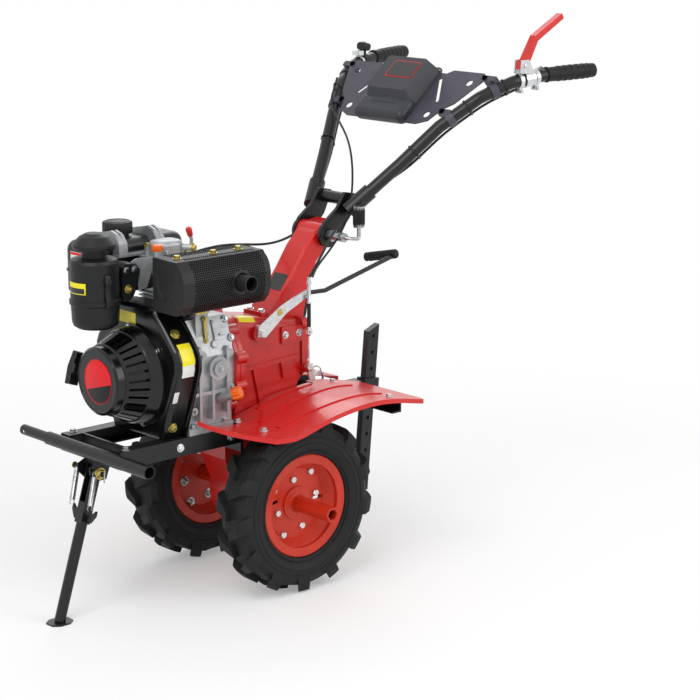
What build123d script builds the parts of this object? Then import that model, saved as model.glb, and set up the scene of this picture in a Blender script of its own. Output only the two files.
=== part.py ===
"""Walking tractor with a small air-cooled diesel engine, parked on its front stand.

Millimetres. +X points forward to the engine and the bumper, +Y to the left, +Z up.
The origin is on the floor, midway between the wheels and under their axle.
"""
import os
from math import atan2, cos, degrees, radians, sin, sqrt

from build123d import *

os.makedirs("parts", exist_ok=True)

# wheels, tyres 4.00-8
TYRE_R = 205.0
TREAD_R = 190.0
TYRE_HALF = 49.0
LUGS_A_SIDE = 13
LUG_SLANT = 30.0
LUG_ROOT_R = 168.0
TRACK = 344.0
BEAD_R = 103.0
FLANGE_R = 121.0
RIM_HALF = 37.0
RIM_SHEET = 3.0
RIM_WELL_R = 86.0
HUB_ACROSS = 32.0
HUB_BORE_ACROSS = 23.6
HUB_OUT = 130.0
HUB_IN = 62.0
HUB_PLATE_R = 39.0
SHAFT_ACROSS = 23.0
SHAFT_JOURNAL = 24.0
SEAT = 0.2
RUN = 0.3

# gear casing
GEAR_HALF = 58.0
GEAR_REAR_X = -118.0
GEAR_FRONT_X = 70.0
SPLIT_Z = 396.0
CRANK_Z = 532.0
ENGINE_X = 126.0
BELL_FLANGE_R = 120.0
BELL_FLANGE_T = 12.0
BELL_EARS = (78, 45, 12, -21, -52)
COVER_T = 26.0
AXLE_HALF = 46.0
AXLE_BOSS_R = 78.0
AXLE_FRONT_X = 104.0
CAP_R = 38.0
CAP_OUT = 30.0

# engine
CASE_T = 132.0
CASE_HALF = 104.0
CASE_TOP_Z = 655.0
RAIL_TOP_Z = 397.0
SHROUD_T = 62.0
SHROUD_HALF = 158.0
SHROUD_TOP_Z = 690.0
RECOIL_R = 106.0
RECOIL_CAP_R = 77.0
RECOIL_T = 106.0
RECOIL_SLOTS = 30
HEAD_X, HEAD_LONG = 163.0, 93.0
HEAD_TOP_Z = SHROUD_TOP_Z + 96
TANK = (105.0, 376.0, -188.0, -84.0, SHROUD_TOP_Z + 16, SHROUD_TOP_Z + 130)
TANK_CAP_X = 261.0
STRAPS_X = (195.0, 300.0)
FILTER_X, FILTER_Y = 404.0, -28.0
FILTER_R = 54.0
FILTER_LOW_Z, FILTER_TOP_Z = 648.0, 858.0
INTAKE_Z = SHROUD_TOP_Z + 44
MUFFLER = (88.0, 332.0, 74.0, 197.0, SHROUD_TOP_Z + 2, SHROUD_TOP_Z + 120)
OUTLET_X, OUTLET_Z = 170.0, SHROUD_TOP_Z + 60
OUTLET_D = 36.0

# front frame, bumper and stand
RAIL_Y = 112.0
RAIL_DEEP = 40.0
RAIL_FLANGE = 34.0
RAIL_SHEET = 4.0
BUMPER_X, BUMPER_Z = 463.5, 382.5
BUMPER_D, BUMPER_BORE = 30.0, 25.0
BUMPER_FAR, BUMPER_NEAR = -138.0, 237.0
PROBE_D, PROBE_FAR = 24.0, -237.0
STAND_X, STAND_Z = 441.0, 330.0
FOOT_X = 544.0
STAND_TUBE = 25.0
FOOT_HALF = 24.0
STAND_CHEEK_Y = 21.0
STAND_PIN_D = 12.0
STAND_EAR_DOWN = 92.0
SPRING_Y = 34.0
SPRING_D = 13.0

# handle column and handlebar
PIVOT_X, PIVOT_Z = -216.0, 790.0
COLUMN_HALF = 35.0
BOSS_R = 26.0
BOSS_HALF = 41.0
PIVOT_BOLT_D = 16.0
YOKE_T = 9.0
SOCKET_LONG = 66.0
BAR_D = 30.0
GRIP_D = 38.0
BAR_RUN = [(-266, 67, 847), (-366, 134, 952), (-442, 186, 1038), (-521, 240, 1105),
           (-596, 279, 1141), (-688, 302, 1153), (-812, 328, 1157)]
GRIP_START_X, GRIP_END_X = -690.0, -824.0

# fenders
FENDER_SHEET = 2.5
FENDER_OUT, FENDER_IN = 292.0, 64.0
FENDER_REAR_IN = 32.0
FENDER_REAR_X = -318.0
FENDER_LIP = 11.0
FENDER_TOP = [(248, 440), (205, 416), (160, 407), (110, 404.6), (60, 413), (0, 428), (-60, 438),
              (-120, 443), (-183, 441), (-240, 432), (-290, 421), (-330, 414)]

# drawbar and depth stake
DRAW_HALF, DRAW_LOW_Z, DRAW_TOP_Z = 24.0, 366.0, 404.0
STAKE_X, STAKE_Z, STAKE_LEAN = -386.0, 385.0, 5.3
STAKE_WIDE, STAKE_THICK = 34.0, 18.0
STAKE_UP, STAKE_DOWN = 146.0, 262.0
STAKE_PITCH = 41.0

CABLE_D = 6.5


def block(x0, x1, y0, y1, z0, z1):
    return Pos((x0 + x1) / 2, (y0 + y1) / 2, (z0 + z1) / 2) * Box(x1 - x0, y1 - y0, z1 - z0)


def side_face(points, y=0.0, corner=0.0):
    """Face in the XZ plane from (x, z) points."""
    face = make_face(Polyline([(x, y, z) for x, z in points], close=True))
    return fillet(face.vertices(), corner) if corner else face


def side_plate(points, y0, y1, corner=0.0):
    return extrude(side_face(points, y0, corner), amount=y1 - y0, dir=(0, 1, 0))


def front_plate(points, x0, x1, corner=0.0):
    """Plate with its outline in the YZ plane from (y, z) points."""
    face = make_face(Polyline([(x0, y, z) for y, z in points], close=True))
    face = fillet(face.vertices(), corner) if corner else face
    return extrude(face, amount=x1 - x0, dir=(1, 0, 0))


def top_plate(points, z0, z1, corner=0.0):
    face = make_face(Polyline([(x, y, z0) for x, y in points], close=True))
    face = fillet(face.vertices(), corner) if corner else face
    return extrude(face, amount=z1 - z0, dir=(0, 0, 1))


def rod(a, b, diameter):
    a, b = Vector(*a), Vector(*b)
    return extrude(Plane(a, z_dir=b - a) * Circle(diameter / 2), amount=(b - a).length)


def bent(points, radius, diameter, bore=0.0):
    path = FilletPolyline(*points, radius=radius)
    ring = Circle(diameter / 2) - Circle(bore / 2) if bore else Circle(diameter / 2)
    return sweep(Plane(path @ 0, z_dir=path % 0) * ring, path)


def about_axle(profile):
    """Solid of revolution about the Y axis from (radius, y) points."""
    return revolve(make_face(Polyline([(r, y, 0) for r, y in profile], close=True)), Axis.Y)


def about_crank(profile):
    """Solid of revolution about the crankshaft from (x, radius) points."""
    face = make_face(Polyline([(x, 0, r) for x, r in profile], close=True))
    return Pos(0, 0, CRANK_Z) * revolve(face, Axis.X)


def hex_bar(across, y0, y1, z=0.0):
    face = Plane((0, y0, z), x_dir=(1, 0, 0), z_dir=(0, 1, 0)) * RegularPolygon(across / sqrt(3), 6)
    return extrude(face, amount=y1 - y0)


def solid_of(shape):
    solids = shape.solids()
    return solids[0] if len(solids) == 1 else Compound(solids)


# one wheel at the origin with its outer side to +Y, then set on the left and mirrored
def tyre_ring():
    half = [(BEAD_R + SEAT, 0), (BEAD_R + SEAT, RIM_HALF - 7 - SEAT),
            (FLANGE_R + SEAT, RIM_HALF - 3.6 - SEAT),
            (FLANGE_R + 2, RIM_HALF + 2), (TREAD_R - 42, TYRE_HALF), (TREAD_R - 17, TYRE_HALF - 2),
            (TREAD_R - 4, TYRE_HALF - 10), (TREAD_R, TYRE_HALF - 26)]
    return about_axle(half + [(r, -y) for r, y in reversed(half[1:])])


def lug_set():
    crown = [(TYRE_R, 0), (TYRE_R, TYRE_HALF - 15), (TYRE_R - 4, TYRE_HALF - 6),
             (TREAD_R - 6, TYRE_HALF), (LUG_ROOT_R, TYRE_HALF - 1), (LUG_ROOT_R, 0)]
    envelope = about_axle(crown)
    foot = [(LUG_SLANT / 2 + 12, 2), (LUG_SLANT / 2 - 10, 2), (-LUG_SLANT / 2 - 20, TYRE_HALF + 2),
            (-LUG_SLANT / 2 + 16, TYRE_HALF + 2)]
    lug = top_plate(foot, LUG_ROOT_R, TYRE_R + 5) & envelope
    other = mirror(lug, about=Plane.XZ)
    step = 360 / LUGS_A_SIDE
    lugs = []
    for k in range(LUGS_A_SIDE):
        lugs += [Rot(0, step * k + 180, 0) * lug, Rot(0, step * (k + 0.5) + 180, 0) * other]
    return lugs


def rim():
    t = RIM_SHEET
    seat = BEAD_R - t
    half = [(HUB_ACROSS / sqrt(3) + SEAT, t), (RIM_WELL_R - 4, t), (seat - 3, 21), (seat, 24),
            (seat, RIM_HALF - 3), (FLANGE_R - 2, RIM_HALF), (FLANGE_R, RIM_HALF - 1.5),
            (FLANGE_R, RIM_HALF - 3.6), (BEAD_R, RIM_HALF - 7), (BEAD_R, 24), (BEAD_R - 2, 21),
            (RIM_WELL_R, t)]
    disc = about_axle(half + [(r, -y) for r, y in reversed(half)])
    slot = block(-82, -52, -t - 1, t + 1, -4, 4)
    return disc - slot


def hub():
    t = RIM_SHEET
    tube = hex_bar(HUB_ACROSS, -HUB_IN, HUB_OUT) - hex_bar(HUB_BORE_ACROSS, -HUB_IN - 1, HUB_OUT + 1)
    plate = Pos(0, t + SEAT / 2, 0) * about_axle([(HUB_ACROSS / sqrt(3) - 3, 0), (HUB_PLATE_R, 0),
                                                  (HUB_PLATE_R, 4), (HUB_ACROSS / sqrt(3) - 3, 6)])
    return tube + (plate - hex_bar(HUB_BORE_ACROSS, -HUB_IN - 1, HUB_OUT + 1)) + half_shaft()


def half_shaft():
    y = TRACK / 2
    journal_end = AXLE_HALF + CAP_OUT + 4 - y
    journal = rod((0, AXLE_HALF - 6 - y, 0), (0, journal_end, 0), SHAFT_JOURNAL)
    shaft = journal + hex_bar(SHAFT_ACROSS, journal_end, -8)
    return shaft + hex_bar(HUB_BORE_ACROSS + 1, -HUB_IN + 2, -HUB_IN + 14)


def set_wheel():
    place = Pos(0, TRACK / 2, TYRE_R)
    ring = tyre_ring().fuse(*lug_set())
    parts = {"tyre": ring, "rim": rim(), "hub": hub()}
    for name, shape in parts.items():
        left = place * shape
        out["left_" + name] = left
        out["right_" + name] = mirror(left, about=Plane.XZ)


# gear casing: bell and upper box, rear cover, lower casing with the axle caps
def bell_ear(angle, side):
    y = side * (BELL_FLANGE_R - 4) * cos(radians(angle))
    z = CRANK_Z + (BELL_FLANGE_R - 4) * sin(radians(angle))
    return rod((ENGINE_X - 2 * BELL_FLANGE_T - 4, y, z), (ENGINE_X, y, z), 28)


def gearbox():
    joint_x = ENGINE_X - BELL_FLANGE_T
    flange_x = joint_x - BELL_FLANGE_T
    r = BELL_FLANGE_R
    flange = about_crank([(flange_x, 0), (ENGINE_X, 0), (ENGINE_X, r), (joint_x + 1.5, r),
                          (joint_x + 1.5, r - 3), (joint_x, r - 3), (joint_x, r), (flange_x, r)])
    for angle in BELL_EARS:
        flange += bell_ear(angle, 1)
        flange += bell_ear(angle, -1)
    big = Plane((flange_x, 0, CRANK_Z), z_dir=(-1, 0, 0)) * Circle(r - 9)
    small = Plane((GEAR_FRONT_X, 0, CRANK_Z), x_dir=(0, 1, 0), z_dir=(-1, 0, 0)) * RectangleRounded(
        2 * GEAR_HALF, 204, 30)
    bell = loft([big.face(), small.face()])
    box = side_plate([(GEAR_FRONT_X, 634), (-24, 619), (GEAR_REAR_X, 604), (GEAR_REAR_X, 466),
                      (-92, 430), (-86, SPLIT_Z), (GEAR_FRONT_X + 16, SPLIT_Z),
                      (GEAR_FRONT_X + 10, 430), (GEAR_FRONT_X, 440)], -GEAR_HALF, GEAR_HALF)
    tops = box.edges().filter_by(Plane.XZ).filter_by(lambda e: e.center().Z > 606 and e.length > 60)
    box = fillet(tops, 26)
    body = flange + bell + box
    for side in (-1, 1):
        y0, y1 = sorted((side * (GEAR_HALF - 1), side * (GEAR_HALF + 6)))
        body += side_plate([(GEAR_REAR_X + 8, 512), (GEAR_FRONT_X + 6, 504), (GEAR_FRONT_X + 6, 513),
                            (GEAR_REAR_X + 8, 521)], y0, y1)
        body += side_plate([(-56, 552), (GEAR_REAR_X, 552), (GEAR_REAR_X, 590), (-56, 594)], y0, y1, 4)
        body += side_plate([(-70, 470), (-60, 470), (-52, 513), (-62, 513)], y0, y1)
        body += side_plate([(0, 410), (10, 410), (32, 507), (22, 507)], y0, y1)
        body += rod((14, side * (GEAR_HALF - 1), 590), (14, side * (GEAR_HALF + 12), 590), 38)
    return body


def gearbox_rear_cover():
    x1 = GEAR_REAR_X
    x2 = x1 - COVER_T
    cover = side_plate([(x1, 606), (x2, 600), (x2 - 4, 560), (x2, 482), (x1, 468)],
                       -GEAR_HALF - 3, GEAR_HALF + 3)
    ends = cover.edges().filter_by(Plane.XZ).filter_by(lambda e: e.center().X < x2 + 1)
    cover = chamfer(ends, 8)
    for side in (-1, 1):
        for z in (486, 590):
            cover += rod((x2 + 2, side * (GEAR_HALF - 4), z), (x1, side * (GEAR_HALF - 4), z), 26)
    shaft = rod((x1 - 10, GEAR_HALF, 486), (x1 - 10, GEAR_HALF + 18, 486), 24)
    return cover + shaft + rod((x2 - 12, 24, 512), (x1 - 4, 24, 512), 44)


def axle_housing():
    z = TYRE_R
    face = make_face(Polyline([(AXLE_FRONT_X, 0, SPLIT_Z), (AXLE_FRONT_X, 0, 300), (60, 0, 200),
                               (-60, 0, 200), (-86, 0, 300), (-86, 0, SPLIT_Z)], close=True))
    body = extrude(face, amount=AXLE_HALF, both=True)
    body += rod((0, -AXLE_HALF, z), (0, AXLE_HALF, z), 2 * AXLE_BOSS_R)
    body += block(-94, AXLE_FRONT_X + 6, -GEAR_HALF - 4, GEAR_HALF + 4, SPLIT_Z - 10, SPLIT_Z)
    end = AXLE_HALF + CAP_OUT
    body += rod((0, -end, z), (0, end, z), 2 * CAP_R)
    body -= rod((0, -end - 1, z), (0, 8 - AXLE_HALF, z), SHAFT_JOURNAL + 2 * RUN)
    body -= rod((0, AXLE_HALF - 8, z), (0, end + 1, z), SHAFT_JOURNAL + 2 * RUN)
    for side in (-1, 1):
        y0, y1 = sorted((side * (AXLE_HALF - 1), side * (AXLE_HALF + 5)))
        body += side_plate([(-10, 270), (10, 270), (14, SPLIT_Z - 9), (-14, SPLIT_Z - 9)], y0, y1)
    return body


# engine
def crankcase():
    x0, x1 = ENGINE_X, ENGINE_X + CASE_T
    z0 = RAIL_TOP_Z
    outline = [(-CASE_HALF + 6, z0), (CASE_HALF - 6, z0), (CASE_HALF - 6, z0 + 40),
               (CASE_HALF + 6, CRANK_Z - 30), (CASE_HALF + 6, CRANK_Z + 40), (82, CASE_TOP_Z),
               (-82, CASE_TOP_Z), (-CASE_HALF - 6, CRANK_Z + 40), (-CASE_HALF - 6, CRANK_Z - 30),
               (-CASE_HALF + 6, z0 + 40)]
    body = front_plate(outline, x0, x1)
    y = CASE_HALF
    for s in (1, -1):
        body += block(x0 + 4, x1 - 2, *sorted((s * (y - 20), s * (y + 6))), z0, z0 + 16)
        for x, low, high in ((x0 + 20, 40, 192), (x0 + 62, 30, 164), (x0 + 98, 30, 200)):
            body += block(x, x + 7, *sorted((s * (y - 12), s * (y + 14))), z0 + low, z0 + high)
        body += block(x0 + 20, x1 - 6, *sorted((s * (y - 8), s * (y + 12))), CRANK_Z - 46, CRANK_Z - 38)
        for x, z, out_y, d in ((x0 + 52, CRANK_Z + 12, 18, 54), (x0 + 52, CRANK_Z + 12, 24, 34),
                               (x0 + 96, CRANK_Z + 44, 13, 26), (x0 + 12, z0 + 96, 11, 18),
                               (x0 + 13, CRANK_Z + 40, 11, 18), (x1 - 16, CRANK_Z - 24, 11, 18),
                               (x1 - 15, z0 + 56, 11, 18)):
            body += rod((x, s * (y - 10), z), (x, s * (y + out_y), z), d)
    pump = block(x0 + 60, x0 + 96, 70, 95, CRANK_Z + 70, CASE_TOP_Z + 14)
    return body + pump + rod((x0 + 78, 82, CASE_TOP_Z + 13), (x0 + 78, 82, CASE_TOP_Z + 30), 21)


def oil_plugs():
    y = CASE_HALF - 6
    neck = rod((166, y, 470), (149, y + 38, 483), 20)
    knob = rod((150, y + 37, 482.5), (141, y + 56, 489.5), 31)
    return (neck + knob) - out["crankcase"]


def shroud_outline(grow):
    h = SHROUD_HALF + grow
    foot, top = 94 + grow, 74 + grow
    return [(-foot, 386 - grow), (foot, 386 - grow), (h - 14, 520), (h, 560), (h, 584), (h - 10, 606),
            (top, SHROUD_TOP_Z), (-top, SHROUD_TOP_Z), (10 - h, 606), (-h, 584), (-h, 560), (14 - h, 520)]


def fan_shroud():
    x0 = ENGINE_X + CASE_T
    back = front_plate(shroud_outline(3), x0, x0 + 5, 7)
    drum = front_plate(shroud_outline(-4), x0 + 5, x0 + SHROUD_T, 7)
    drum = fillet(drum.faces().sort_by(Axis.X)[-1].edges(), 13)
    shell = back + drum
    return shell - block(x0 - 1, x0 + SHROUD_T + 1, -160, 160, 300, RAIL_TOP_Z)


def recoil_starter():
    x = ENGINE_X + CASE_T + SHROUD_T
    e = x + RECOIL_T
    r, c = RECOIL_R, RECOIL_CAP_R
    body = about_crank([(x, 0), (x, r + 10), (x + 7, r + 10), (x + 7, r + 2), (x + 14, r), (x + 26, r - 2),
                        (e - 24, c + 4), (e - 22, c), (e - 5, c), (e, c - 6), (e - 2, c - 8), (e - 2, 0)])
    ring = about_crank([(x + 24, r - 14), (e - 28, c - 10), (e - 28, c + 20), (x + 24, r + 12)])
    slot = ring & block(x + 20, e - 24, -3, 3, CRANK_Z, CRANK_Z + r + 20)
    turns = [Pos(0, 0, CRANK_Z) * Rot(360 / RECOIL_SLOTS * k, 0, 0) * Pos(0, 0, -CRANK_Z)
             for k in range(RECOIL_SLOTS)]
    body = body.cut(*[turn * slot for turn in turns])
    guide = rod((x + 54, -c + 6, CRANK_Z), (x + 54, -r - 2, CRANK_Z), 30)
    return body + guide


def starter_handle():
    x = ENGINE_X + CASE_T + SHROUD_T + 54
    y = -RECOIL_R - 24
    grip_ = side_plate([(-8, -39), (-14, 0), (-8, 39), (10, 37), (6, 12), (14, 8), (14, -8), (6, -12),
                        (10, -37)], -12, 12, 3)
    grip_ = Pos(x + 18, y, CRANK_Z + 2) * Rot(0, -20, 0) * Rot(0, 0, 90) * grip_
    stem = rod((x, -RECOIL_R - 2, CRANK_Z), (x + 14, y - 2, CRANK_Z + 2), 14)
    return (stem + grip_) - out["recoil_starter"]


def cylinder_head():
    z0 = CASE_TOP_Z
    x0, x1 = HEAD_X, HEAD_X + HEAD_LONG
    core = block(x0 + 8, x1 - 8, -58, 52, z0, HEAD_TOP_Z)
    z = z0 + 6
    while z < z0 + 52:
        core += block(x0, x1, -68, 62, z, z + 3.5)
        z += 8
    core += block(x0, x1, -70, 66, z0 + 56, z0 + 92)
    core += block(x0, x1, -70, 60, HEAD_TOP_Z - 12, HEAD_TOP_Z)
    cover = block(x0 + 8, x1 - 10, -56, 2, HEAD_TOP_Z, HEAD_TOP_Z + 34)
    cover = fillet(cover.edges().filter_by(Axis.Z), 22)
    cover = fillet(cover.faces().sort_by(Axis.Z)[-1].edges(), 12)
    for x, y in ((x0 + 12, -46), (x1 - 16, -50), (x1 - 14, -4), (x0 + 12, -6)):
        cover += rod((x, y, HEAD_TOP_Z), (x, y, HEAD_TOP_Z + 20), 16)
    pivot = rod((x0 + 14, -6, HEAD_TOP_Z + 16), (x0 + 2, 16, HEAD_TOP_Z + 16), 16)
    stalk = bent([(x0 + 4, 12, HEAD_TOP_Z + 16), (x0 + 3, 14, HEAD_TOP_Z + 34), (x0 + 12, 14, HEAD_TOP_Z + 62)],
                 8, 8)
    return core + cover + pivot + stalk


def fuel_tank():
    x0, x1, y0, y1, z0, z1 = TANK
    body = block(x0, x1, y0, y1, z0, z1)
    body = fillet(body.edges().filter_by(Axis.Z), 26)
    body = fillet(body.faces().sort_by(Axis.Z)[-1].edges(), 24)
    seam = top_plate([(x0 - 3, y0 - 3), (x1 + 3, y0 - 3), (x1 + 3, y1 + 3), (x0 - 3, y1 + 3)],
                     z0 + 44, z0 + 48, 28)
    mid = (y0 + y1) / 2
    neck = rod((TANK_CAP_X, mid, z1 - 4), (TANK_CAP_X, mid, z1 + 8), 52)
    cap = rod((TANK_CAP_X, mid, z1 + 8), (TANK_CAP_X, mid, z1 + 34), 66)
    return body + seam + neck + chamfer(cap.faces().sort_by(Axis.Z)[-1].edges(), 5)


def tank_straps():
    x0, x1, y0, y1, z0, z1 = TANK
    head_y = -70
    straps = []
    for x in (x0 + 70, x0 + 130):
        plate = block(x - 13, x + 13, y0 + 20, y1 - 10, z0 - 4, z0)
        hook = block(x - 13, x + 13, y1 - 14, head_y, z0 - 4, z0)
        leg = block(x - 13, x + 13, head_y - 4, head_y, z0 - 4, z0 + 34)
        straps.append(plate + hook + leg)
    deck = block(HEAD_X, STRAPS_X[1] + 16, y1 - 2, -58, HEAD_TOP_Z, HEAD_TOP_Z + 5)
    arch = [(-60, HEAD_TOP_Z + 4), (-62, z1 - 4), (-76, z1 + 14), (-96, z1 + 20), (-122, z1 + 14),
            (-156, z1 + 8), (-158, z1 - 2), (-84, z1 - 30), (-86, HEAD_TOP_Z + 4)]
    for x in STRAPS_X:
        deck += front_plate(arch, x - 12, x + 12)
        deck += front_plate([(y, z + 3) if z > z1 else (y, z) for y, z in arch], x - 9, x - 3)
        deck += front_plate([(y, z + 3) if z > z1 else (y, z) for y, z in arch], x + 3, x + 9)
    deck -= out["fuel_tank"]
    deck -= out["cylinder_head"]
    return Compound(straps + [deck.solids().sort_by(SortBy.VOLUME)[-1]])


def air_filter():
    lo, hi, r = FILTER_LOW_Z, FILTER_TOP_Z, FILTER_R
    pts = [(0, lo), (r - 14, lo), (r - 5, lo + 6), (r - 2, lo + 14), (r, lo + 52), (r + 3, lo + 55),
           (r + 3, lo + 64), (r, lo + 66), (r, hi - 64), (r - 3, hi - 57), (r - 26, hi - 52),
           (r - 26, hi - 34), (r - 8, hi - 34), (r - 6, hi - 30), (r - 6, hi - 24), (r - 22, hi - 7),
           (r - 36, hi), (0, hi)]
    face = make_face(Polyline([(rr, 0, z) for rr, z in pts], close=True))
    can = Pos(FILTER_X, FILTER_Y, 0) * revolve(face, Axis.Z)
    head_x = HEAD_X + HEAD_LONG
    pipe = rod((head_x, FILTER_Y, INTAKE_Z), (FILTER_X - 30, FILTER_Y, INTAKE_Z), 38)
    return can + pipe


def muffler_profile(inset):
    """Outline of the muffler guard across the machine: flat to the engine, bowed on the outer side."""
    y0, y1, z0, z1 = MUFFLER[2:]
    i = inset
    return [(y0 - i, z0 + i), (y1 - 25 - i / 2, z0 + i), (y1 - 7 - i, z0 + 20), (y1 - i, z0 + 44),
            (y1 - i, z1 - 44), (y1 - 7 - i, z1 - 22), (y1 - 27 - i / 2, z1 - i), (y0 - i, z1 - i)]


def muffler():
    x0, x1, y0, y1, z0, z1 = MUFFLER
    can = block(x0 + 10, x1 - 10, y0 + 2, y1 - 24, z0 + 6, z1 - 6)
    can = fillet(can.edges().filter_by(Axis.X), 24)
    port = block(HEAD_X + 33, HEAD_X + 81, 66, y0 + 4, z0 + 40, z0 + 80)
    return can + port


def muffler_guard():
    x0, x1, y0, y1, z0, z1 = MUFFLER
    outer = front_plate(muffler_profile(0), x0, x1, 5)
    inner = front_plate(muffler_profile(3), x0 + 3, x1 - 3, 3)
    guard = outer - inner - block(x0 - 1, x1 + 1, y0 - 1, y0 + 14, z0 - 1, z1 + 1)
    guard -= rod((OUTLET_X, y1 - 30, OUTLET_Z), (OUTLET_X, y1 + 5, OUTLET_Z), OUTLET_D + 6)
    for x in (x0 + 50, x1 - 50):
        guard += block(x - 8, x + 8, y0 + 22, y0 + 36, z0 + 2, z0 + 6)
        guard += block(x - 8, x + 8, y0 + 22, y0 + 36, z1 - 6, z1 - 2)
    return guard


def exhaust_outlet():
    y1 = MUFFLER[3]
    a, b = (OUTLET_X, y1 - 24, OUTLET_Z), (OUTLET_X, y1 + 32, OUTLET_Z)
    return rod(a, b, OUTLET_D) - rod((OUTLET_X, y1 - 23, OUTLET_Z), (OUTLET_X, y1 + 33, OUTLET_Z), OUTLET_D - 4)


# front frame, bumper and stand
def rail(side):
    x0, x1 = AXLE_FRONT_X + 7, BUMPER_X - BUMPER_D / 2 - SEAT
    z1 = RAIL_TOP_Z
    web = block(x0, x1, RAIL_Y - RAIL_SHEET, RAIL_Y, z1 - RAIL_DEEP, z1)
    top = block(x0, x1, RAIL_Y - RAIL_FLANGE, RAIL_Y, z1 - RAIL_SHEET, z1)
    low = block(x0, x1, RAIL_Y - RAIL_FLANGE, RAIL_Y, z1 - RAIL_DEEP, z1 - RAIL_DEEP + RAIL_SHEET)
    shape = web + top + low
    return shape if side > 0 else mirror(shape, about=Plane.XZ)


def frame_end_plate():
    return block(AXLE_FRONT_X, AXLE_FRONT_X + 7, -RAIL_Y, RAIL_Y, RAIL_TOP_Z - 62, RAIL_TOP_Z - 11)


def stand_beam():
    y = RAIL_Y - RAIL_FLANGE
    low = RAIL_TOP_Z - RAIL_DEEP
    flat = block(STAND_X - 32, STAND_X + 7, -y, y, low, low + 6)
    return flat + block(STAND_X - 32, STAND_X - 27, -y, y, low, RAIL_TOP_Z)


def bumper():
    a, b = (BUMPER_X, BUMPER_FAR, BUMPER_Z), (BUMPER_X, BUMPER_NEAR, BUMPER_Z)
    return rod(a, b, BUMPER_D) - rod((BUMPER_X, BUMPER_FAR - 1, BUMPER_Z),
                                     (BUMPER_X, BUMPER_NEAR + 1, BUMPER_Z), BUMPER_BORE)


def probe_tube():
    far = (BUMPER_X, PROBE_FAR, BUMPER_Z)
    tube = rod(far, (BUMPER_X, -20, BUMPER_Z), PROBE_D)
    tube -= rod((BUMPER_X, PROBE_FAR - 1, BUMPER_Z), (BUMPER_X, -19, BUMPER_Z), PROBE_D - 4)
    return tube - rod((BUMPER_X - 20, PROBE_FAR + 14, BUMPER_Z), (BUMPER_X + 20, PROBE_FAR + 14, BUMPER_Z), 7)


def stand_bracket():
    z1 = RAIL_TOP_Z - RAIL_DEEP
    y = STAND_CHEEK_Y
    cheek = [(STAND_X - 32, z1), (STAND_X + 7, z1), (STAND_X + 27, STAND_Z + 18),
             (STAND_X + 27, STAND_Z + 2), (STAND_X + 10, STAND_Z - 16), (STAND_X - 16, STAND_Z - 16)]
    left = side_plate(cheek, y, y + 4)
    right = side_plate(cheek, -y - 4, -y)
    bridge = block(STAND_X - 32, STAND_X - 28, -y, y, z1 - 12, z1)
    pins = rod((STAND_X + 20, y, STAND_Z + 10), (STAND_X + 20, SPRING_Y + 9, STAND_Z + 10), 7)
    pins += rod((STAND_X + 20, -SPRING_Y - 9, STAND_Z + 10), (STAND_X + 20, -y, STAND_Z + 10), 7)
    body = left + right + bridge + pins
    hole = rod((STAND_X, -y - 5, STAND_Z), (STAND_X, y + 5, STAND_Z), STAND_PIN_D + 2 * RUN)
    return body - hole


def stand_leg():
    dx, dz = FOOT_X - STAND_X, STAND_Z - 4
    long = sqrt(dx * dx + dz * dz)
    lean = degrees(atan2(dx, dz))
    r = STAND_TUBE / 2
    tube = rod((0, 0, -long), (0, 0, -STAND_EAR_DOWN), STAND_TUBE)
    tube -= rod((0, 0, -long - 1), (0, 0, -STAND_EAR_DOWN - 8), STAND_TUBE - 5)
    knuckle = block(-r, r, -r, r, -STAND_EAR_DOWN - 26, 14) - block(-r + 3, r + 1, -r + 3, r - 3, -70, 15)
    knuckle -= rod((0, -r - 1, 0), (0, r + 1, 0), STAND_PIN_D)
    ear_z = -STAND_EAR_DOWN
    ear = front_plate([(-SPRING_Y - 9, ear_z + 10), (-SPRING_Y + 1, ear_z + 2), (-r, ear_z - 8), (-r, ear_z - 22),
                       (-SPRING_Y + 4, ear_z - 20), (-SPRING_Y - 9, ear_z - 2)], -3, 3)
    ears = ear + mirror(ear, about=Plane.XZ)
    leg = Pos(STAND_X, 0, STAND_Z) * Rot(0, -lean, 0) * (tube + knuckle + ears)
    pin = rod((STAND_X, -STAND_CHEEK_Y - 14, STAND_Z), (STAND_X, STAND_CHEEK_Y + 16, STAND_Z), STAND_PIN_D)
    leg = leg & block(300, 700, -100, 100, 4, 500)
    f = FOOT_HALF
    foot = top_plate([(FOOT_X - f - 4, -f / 2), (FOOT_X - f / 2, -f), (FOOT_X + f / 2, -f), (FOOT_X + f + 4, -f / 2),
                      (FOOT_X + f + 4, f / 2), (FOOT_X + f / 2, f), (FOOT_X - f / 2, f), (FOOT_X - f - 4, f / 2)], 0, 4)
    return leg + pin + foot


def stand_spring(side):
    dx, dz = FOOT_X - STAND_X, STAND_Z - 4
    lean = atan2(dx, dz)
    ear = Vector(STAND_X + STAND_EAR_DOWN * sin(lean), 0, STAND_Z - STAND_EAR_DOWN * cos(lean))
    top = (STAND_X + 20, side * SPRING_Y, STAND_Z + 6)
    low = (ear.X + 4.5, side * SPRING_Y, ear.Z + 11)
    return rod(low, top, SPRING_D)


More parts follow.
